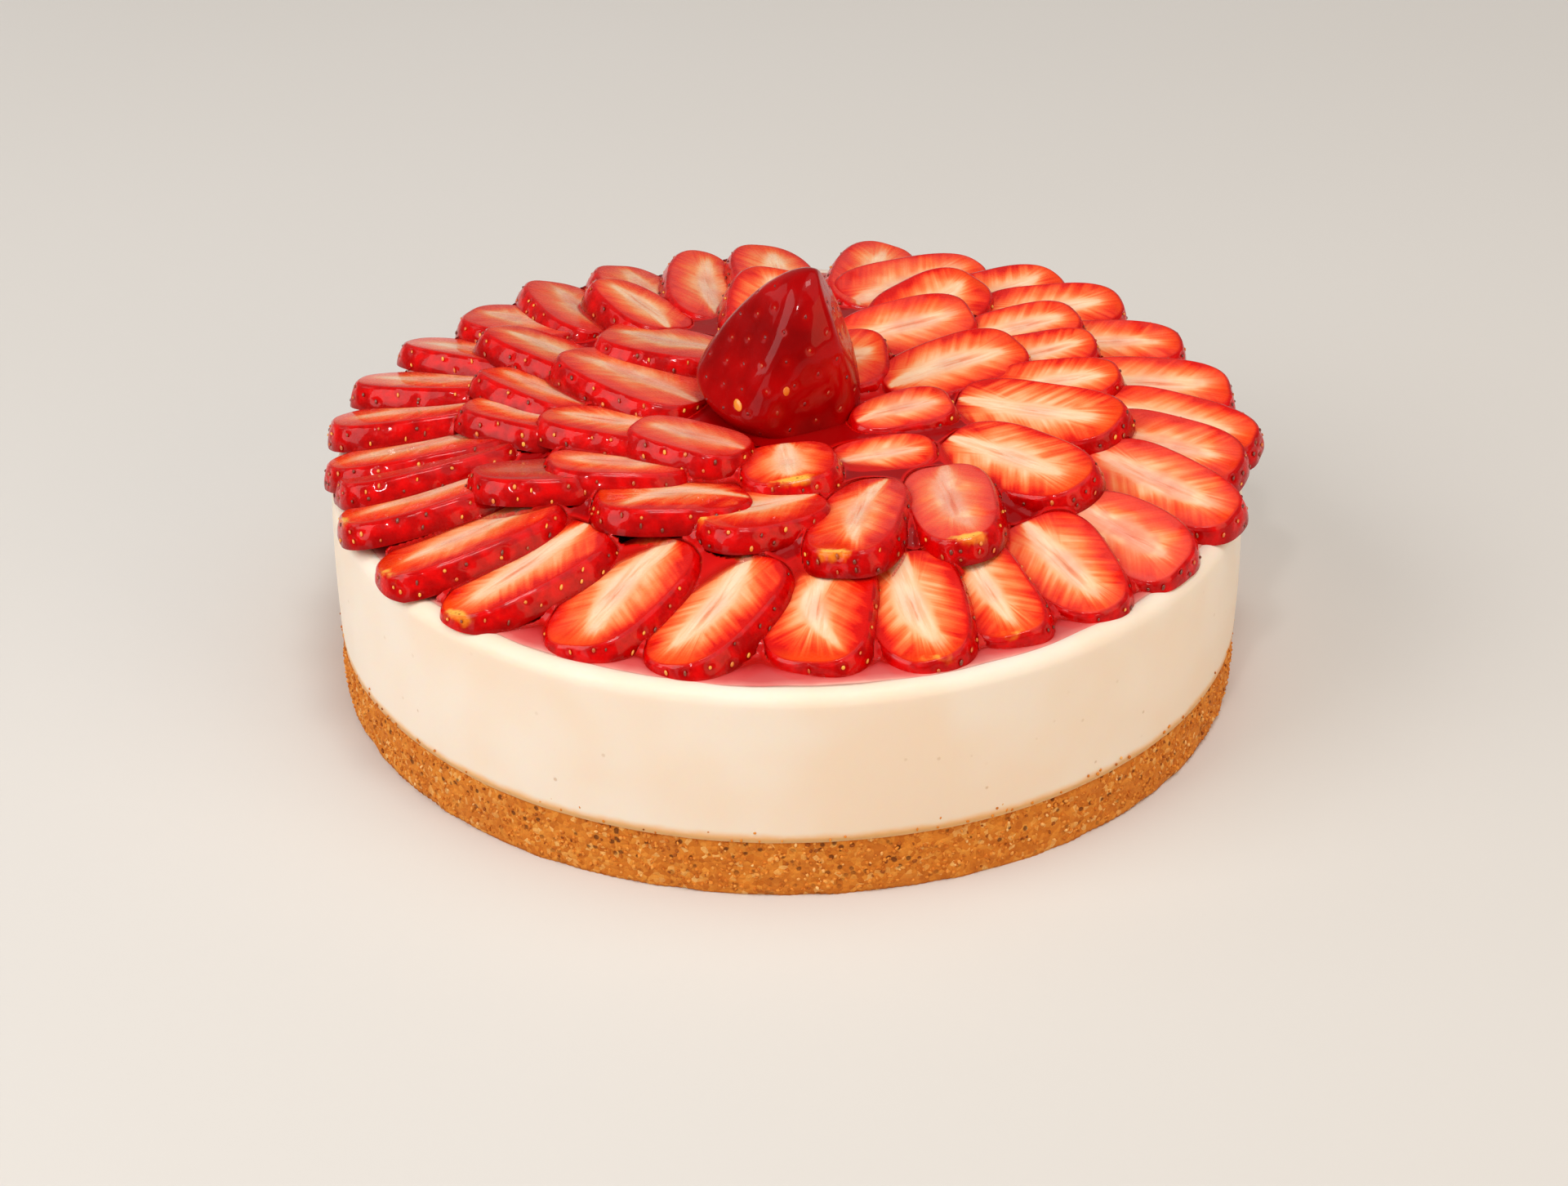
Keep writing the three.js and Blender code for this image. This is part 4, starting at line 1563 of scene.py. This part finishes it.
@dataclass
class WholeStrawberry:
    """The whole strawberry that stands on its hulled end in the middle."""

    foot: tuple[float, float, float] = (-3 * MM, 6 * MM, 57 * MM)
    tip: tuple[float, float, float] = (6 * MM, 2.5 * MM, 91 * MM)
    radius: float = 19 * MM
    hull_radius_share: float = 0.8
    hull_height_share: float = 0.14
    cone_spread: float = 1.45
    cone_bluntness: float = 0.6
    flats: tuple[tuple[float, float, float], ...] = ((-151, 21, 17.5), (0, 35, 21), (-66, 13, 17.5))
    flat_edge: float = 1.6
    spots: tuple[tuple[float, float], ...] = ((-123, 0.155), (-91.5, 0.31), (78, 0.3), (150, 0.36))
    seed_count: int = 84
    seed_sink: float = 0.22 * MM
    pit_radius: float = 0.8 * MM
    pit_depth: float = 0.16 * MM
    ripples_per_metre: float = 190
    ripple: float = 0.16 * MM
    sides: int = 200
    rows: int = 130

    def surface(self, angle: np.ndarray, along: np.ndarray) -> np.ndarray:
        """Places on the skin, by the turn round the axis and the share of the way up."""
        foot = Vector(self.foot)
        axis = Vector(self.tip) - foot
        turn = np.array(Vector((0, 0, 1)).rotation_difference(axis).to_matrix())
        eased = 1 - (1 - along) ** 1.35
        hull_rise = np.sin(np.minimum(1, eased / self.hull_height_share) * math.pi / 2)
        hull = self.hull_radius_share + (1 - self.hull_radius_share) * hull_rise
        cone = np.clip(1 - eased**self.cone_spread, 0, None) ** self.cone_bluntness
        radius = self.radius / MM * hull * cone
        for direction, lean, distance in self.flats:
            radius = self._flattened(radius, angle - math.radians(direction), eased, lean, distance)
        radius = np.maximum(0.05, radius) * MM
        up = eased * axis.length
        local = np.stack([radius * np.cos(angle), radius * np.sin(angle), up], -1)
        return local @ turn.T + np.array(self.foot)

    def _flattened(
        self, radius: np.ndarray, off: np.ndarray, share: np.ndarray, lean: float, distance: float
    ) -> np.ndarray:
        """Cuts one broad flat into the skin, with a rounded edge.

        Args:
            radius: The skin's radius in millimetres.
            off: Turn away from the way the flat faces.
            share: Share of the way up the axis.
            lean: How far the flat leans back, in degrees.
            distance: Millimetres from the middle of the hulled end to the flat.

        Returns:
            The radius with the flat.
        """
        height = share * (Vector(self.tip) - Vector(self.foot)).length / MM
        slope = math.radians(lean)
        facing = np.cos(off)
        flat = (distance - height * math.sin(slope)) / (math.cos(slope) * np.maximum(facing, 0.15))
        flat = np.where(facing > 0.15, flat, 1000.0)
        nearer = np.minimum(radius, flat)
        rest = np.exp(-self.flat_edge * (radius - nearer)) + np.exp(-self.flat_edge * (flat - nearer))
        return nearer - np.log(rest) / self.flat_edge

    def _grid(self, sides: int, rows: int) -> tuple[np.ndarray, list[tuple[int, ...]]]:
        """Vertices and faces of the plain skin."""
        angle, along = np.meshgrid(turns(sides), np.linspace(1, 0, rows)[1:])
        return closed_body(self.surface(angle, along), self.tip, self.foot)

    def cutter(self) -> bpy.types.Object:
        """A plain copy that cuts the slices under it."""
        places, faces = self._grid(64, 24)
        return link_object("berry_cutter", make_mesh("berry_cutter", places, faces))

    def _facing(self, angle: np.ndarray, along: np.ndarray) -> tuple[np.ndarray, np.ndarray]:
        """Places on the skin and the way that it faces there."""
        here = self.surface(angle, along)
        side = self.surface(angle + 0.02, along) - here
        rise = self.surface(angle, along + 0.01) - here
        facing = np.cross(side, rise)
        return here, facing / np.linalg.norm(facing, axis=1)[:, None]

    def seed_places(self) -> tuple[np.ndarray, np.ndarray]:
        """Small seeds on a spiral, with the way they face."""
        golden = math.pi * (3 - math.sqrt(5))
        index = np.arange(self.seed_count) + 0.5
        along = 1 - np.sqrt(np.clip(0.95 - 0.9 * index / self.seed_count, 0, 1)) * 0.98
        return self._facing((index * golden) % FULL_TURN, along)

    def bright_seed_places(self) -> tuple[np.ndarray, np.ndarray]:
        """The few large yellow seeds, with the way they face."""
        angle = np.radians([turn for turn, _ in self.spots])
        return self._facing(angle, np.array([share for _, share in self.spots]))

    def build(self) -> None:
        """Makes the berry, its pits and its seeds."""
        places, faces = self._grid(self.sides, self.rows)
        pits, facing = self.seed_places()
        spots, spot_facing = self.bright_seed_places()
        pull = np.zeros(len(places))
        push = np.zeros_like(places)
        for pit, outward in zip(np.concatenate([pits, spots]), np.concatenate([facing, spot_facing])):
            near = np.exp(-((np.linalg.norm(places - pit, axis=1) / self.pit_radius) ** 2))
            better = near > pull
            pull[better] = near[better]
            push[better] = -outward
        places = places + push * (pull * self.pit_depth)[:, None]
        swell = np.array([noise.noise(Vector(place) * self.ripples_per_metre) for place in places])
        away = places - np.array(self.foot)
        away[:, 2] = 0
        away /= np.maximum(np.linalg.norm(away, axis=1), 1e-6)[:, None]
        places = places + away * (swell * self.ripple)[:, None]
        mesh = make_mesh("whole_strawberry_skin", places, faces, {"pit": pull})
        finish = SkinFinish(
            "strawberry_skin",
            coat=0.45,
            coat_roughness=0.04,
            coat_ior=1.34,
            specular=0.03,
        )
        add_piece(mesh, finish, ["whole_strawberry"])
        dull = SeedFinish(
            "dull_seed",
            roughness=0.3,
            coat=0.4,
            dark=linear(120, 4, 4),
            middle=linear(150, 16, 6),
            pale=linear(196, 76, 16),
        )
        self._seeds("berry_seeds", pits, facing, 1.0 * MM, dull)
        bright = SeedFinish(
            "bright_seed",
            roughness=0.35,
            coat=0.8,
            dark=linear(226, 120, 16),
            middle=linear(238, 146, 26),
        )
        self._seeds("bright_seeds", spots, spot_facing, 3.2 * MM, bright)

    def _seeds(
        self, name: str, places: np.ndarray, facing: np.ndarray, length: float, finish: SeedFinish
    ) -> None:
        """Grows a seed of about the given length in each pit."""
        body = SmallBody(length, length * 0.62, 0.55 * MM, unevenness=0.25, seed=9, subdivisions=2)
        stand_bodies(name, places - facing * self.seed_sink, facing, body, finish.build())


@dataclass
class GlazePool:
    """The film of glaze on the filling, inside the pale rim.

    insets holds how far in from the edge each ring of points runs, in millimetres, and full_inset
    where the glaze has its full depth of colour.
    """

    insets: tuple[float, ...] = (60, 40, 25, 14, 9, 6, 4, 3, 2.2, 1.5, 1, 0.6, 0.3, 0.1, 0)
    full_inset: float = 9.0
    radius: float = 95.9 * MM
    surface_height: float = 47.56 * MM
    under: float = 46.9 * MM
    edge_round: float = 1.2 * MM
    edge_drop: float = 0.24 * MM
    sides: int = 420

    def build(self) -> None:
        """Makes the film as a thin closed body with a wandering, rounded edge."""
        turn = turns(self.sides)
        edge = self.radius + MM * waves(
            turn, [(4, 0.22, 0.2), (7, 0.2, 1.4), (15, 0.18, 2.2), (29, 0.12, 0.7), (58, 0.07, 1.9)]
        )
        rings = []
        deep = []
        for inset in self.insets:
            share = min(1.0, inset * MM / self.edge_round)
            swell = math.sqrt(1 - (1 - share) ** 2)
            height = self.surface_height - self.edge_drop * (1 - swell)
            rings.append(round_places(turn, edge - inset * MM, height))
            deep.append(np.full_like(turn, min(1.0, inset / self.full_inset)))
        rings.append(round_places(turn, edge, self.under))
        deep.append(np.zeros_like(turn))
        places, faces = closed_body(rings, (0, 0, self.surface_height), (0, 0, self.under))
        mesh = make_mesh("glaze_pool", places, faces, {"deep": np.concatenate([*deep, [1.0, 1.0]])})
        finish = PoolFinish("thin_glaze", roughness=0.25, coat=0.8, coat_roughness=0.04, specular=0.3)
        add_piece(mesh, finish)


@dataclass
class GlazeFill:
    """Set glaze among the slices: a low mound in the middle, and a hollow fillet where they meet."""

    reach: float = 95.2 * MM
    cell: float = 0.4 * MM
    fillet: float = 1.4 * MM
    thinnest: float = 0.1 * MM
    skin: float = 0.4 * MM
    sunk: float = 0.06 * MM
    pool_height: float = 47.5 * MM
    mound_radii: tuple[float, ...] = (0, 20, 35, 50, 62, 70, 78, 86, 92, 200)
    mound_heights: tuple[float, ...] = (58.2, 58.2, 58, 57, 55.3, 53.2, 50.4, 48.1, 47.5, 47.5)

    def _closed(self, heights: np.ndarray) -> np.ndarray:
        """Fills what a ball of the fillet's radius, rolled over the heights, can't reach."""
        cells = int(self.fillet / self.cell)
        steps = [(i, j) for i in range(-cells, cells + 1) for j in range(-cells, cells + 1)]
        caps = [(i, j, self.fillet**2 - (i * i + j * j) * self.cell**2) for i, j in steps]
        caps = [(i, j, math.sqrt(rest)) for i, j, rest in caps if rest > 0]
        lifted = np.full_like(heights, -1.0)
        for i, j, cap in caps:
            lifted = np.maximum(lifted, np.roll(heights, (i, j), (0, 1)) + cap)
        lowered = np.full_like(heights, 1.0)
        for i, j, cap in caps:
            lowered = np.minimum(lowered, np.roll(lifted, (i, j), (0, 1)) - cap)
        return lowered

    @staticmethod
    def _around(values: np.ndarray) -> np.ndarray:
        """The sum of each cell and its eight neighbours."""
        total = np.zeros_like(values, dtype=float)
        for i in (-1, 0, 1):
            for j in (-1, 0, 1):
                total += np.roll(values, (i, j), (0, 1))
        return total

    def build(self, slices: Sequence[Slice]) -> None:
        """Makes the glaze as one thin closed sheet over the places that hold it.

        Args:
            slices: The slices that it lies among.
        """
        count = int(2 * (self.reach + 3 * MM) / self.cell)
        steps = (np.arange(count) - (count - 1) / 2) * self.cell
        x, y = np.meshgrid(steps, steps, indexing="ij")
        radius = np.hypot(x, y)
        mound = np.interp(radius / MM, self.mound_radii, self.mound_heights) * MM
        solid = np.full_like(x, self.pool_height)
        for one in slices:
            half = math.hypot(one.length, one.width) / 2 + 3 * MM
            near = np.hypot(x - one.middle[0], y - one.middle[1]) < half
            solid[near] = np.maximum(solid[near], one.heights(x[near], y[near]))
        surface = self._closed(np.maximum(solid, mound))
        wet = (surface - solid > self.thinnest) & (radius < self.reach)
        for _ in range(2):
            wet &= self._around(wet) >= 4
        used = self._around(wet) > 0
        beside = used & ~wet
        level = self._around(np.where(wet, surface, 0)) / np.maximum(self._around(wet), 1)
        surface = np.where(beside, np.minimum(level, solid - self.sunk), surface)
        for _ in range(2):
            mean = self._around(np.where(used, surface, 0)) / np.maximum(self._around(used), 1)
            surface = np.where(wet, mean, surface)
        depth = np.where(wet, surface - solid, 0.0).clip(0) / MM
        self._sheet(np.stack([x, y, surface], -1), wet, used, depth)

    def _sheet(self, places: np.ndarray, wet: np.ndarray, used: np.ndarray, depth: np.ndarray) -> None:
        """Makes the closed mesh of the cells that touch a wet place."""
        number = np.cumsum(used.ravel()).reshape(used.shape) - 1
        total = int(used.sum())
        any_wet = wet[:-1, :-1] | wet[1:, :-1] | wet[1:, 1:] | wet[:-1, 1:]
        corners = [number[:-1, :-1], number[1:, :-1], number[1:, 1:], number[:-1, 1:]]
        quads = np.stack([corner[any_wet] for corner in corners], -1)
        starts = quads.ravel()
        ends = np.roll(quads, -1, axis=1).ravel()
        keys = np.minimum(starts, ends) * total + np.maximum(starts, ends)
        _, back, counts = np.unique(keys, return_inverse=True, return_counts=True)
        single = counts[back] == 1
        start, end = starts[single], ends[single]
        sides = np.stack([end, start, start + total, end + total], -1)
        faces = np.concatenate([quads, quads[:, ::-1] + total, sides])
        top = places[used]
        bottom = top - np.array([0, 0, self.skin])
        deep = np.concatenate([depth[used], depth[used]])
        mesh = make_mesh("glaze_fill", np.concatenate([top, bottom]), faces.tolist(), {"deep": deep})
        finish = GelFinish(
            "deep_glaze", roughness=0.3, coat=0.7, coat_roughness=0.03, coat_ior=1.33, specular=0.05
        )
        add_piece(mesh, finish)


@dataclass
class Studio:
    """Floor, light and camera."""

    distance: float = 0.776
    elevation: float = 30.3
    shift_right: float = -0.75 * MM
    shift_up: float = 11 * MM
    roll: float = -0.23
    lens: float = 78.75
    sensor: float = 36.0

    def floor(self) -> None:
        """A wide pale dish, flat under the cake and curving up all round far away from it."""
        sides = 96
        profile = [(r, 0.0) for r in (0.4, 1.0, 2.0, 3.2, 4.0)] + arc((4.0, 1.6), 1.6, -85, -5, 14)
        places = round_places(*lathe(np.array(profile), sides)).reshape(-1, 3)
        faces = ring_faces(len(profile), sides, True, False)
        mesh = make_mesh("studio_floor", np.concatenate([places, [[0, 0, 0]]]), faces)
        sheet = link_object("studio_floor", mesh)
        dress(sheet, StudioFinish("studio_paper", roughness=0.9, specular=0.1).build())

    def camera(self) -> None:
        """The camera at the photo's angle."""
        tilt = math.radians(self.elevation)
        forward = Vector((0, math.cos(tilt), -math.sin(tilt)))
        up = Vector((0, math.sin(tilt), math.cos(tilt)))
        right = Vector((1, 0, 0))
        data = bpy.data.cameras.new("camera")
        data.lens = self.lens
        data.sensor_width = self.sensor
        data.clip_start = 0.01
        camera = bpy.data.objects.new("camera", data)
        camera.location = -forward * self.distance + right * self.shift_right + up * self.shift_up
        pitch = Euler((math.pi / 2 - tilt, 0, 0)).to_matrix()
        turned = pitch @ Euler((0, 0, math.radians(self.roll))).to_matrix()
        camera.rotation_euler = turned.to_euler()
        bpy.context.scene.collection.objects.link(camera)
        bpy.context.scene.camera = camera

    def _lamp(
        self,
        name: str,
        place: tuple[float, float, float],
        size: float,
        power: float,
        colour: tuple[float, float, float],
    ) -> None:
        """A square soft light that faces the cake."""
        data = bpy.data.lights.new(name, "AREA")
        data.shape = "SQUARE"
        data.size = size
        data.energy = power
        data.color = colour
        lamp = bpy.data.objects.new(name, data)
        lamp.location = place
        aim = Vector((0, 0, 0.04)) - Vector(place)
        lamp.rotation_euler = aim.to_track_quat("-Z", "Y").to_euler()
        bpy.context.scene.collection.objects.link(lamp)

    def light(self) -> None:
        """A key from the left, a warm fill, two boxes above, two panels and a small glint."""
        self._lamp("key", (-0.98, -0.5, 0.85), 0.9, 9.6, (1.0, 0.975, 0.95))
        self._lamp("fill", (1.1, -0.8, 0.55), 0.9, 5.2, (1.0, 0.76, 0.5))
        self._lamp("overhead", (0.9, -0.2, 2.1), 2.4, 16.0, (1.0, 0.98, 0.96))
        self._lamp("rim_box", (0.15, -0.35, 1.5), 0.36, 5.0, (1.0, 0.98, 0.96))
        self._lamp("left_panel", (-1.25, 0.4, 0.8), 0.55, 1.2, (1.0, 0.98, 0.97))
        self._lamp("low_panel", (-0.8, -1.15, 0.22), 0.4, 0.8, (1.0, 0.98, 0.97))
        self._lamp("glint", (-0.25, -0.95, 1.15), 0.09, 2.2, (1.0, 0.98, 0.96))
        world = bpy.data.worlds.new("studio")
        bpy.context.scene.world = world
        world.use_nodes = True
        board = Board(world.node_tree)
        sky = board.node("ShaderNodeBackground", None, {"Color": (1.0, 0.965, 0.92, 1.0), "Strength": 0.26})
        board.node("ShaderNodeOutputWorld", None, {"Surface": sky})
        bpy.context.scene.view_settings.view_transform = "Standard"

    def build(self) -> None:
        """Sets the stage."""
        self.camera()
        self.floor()
        self.light()


def main() -> None:
    """Builds the cake from its base up, then the studio."""
    logging.basicConfig(level=logging.INFO, format="%(name)s %(message)s")
    Studio().build()
    CrumbBase().build()
    CheeseFilling().build()
    GlazePool().build()
    berry = WholeStrawberry()
    slices = StrawberryTopping().build(berry)
    GlazeFill().build(slices)
    berry.build()


if __name__ == "__main__":
    main()
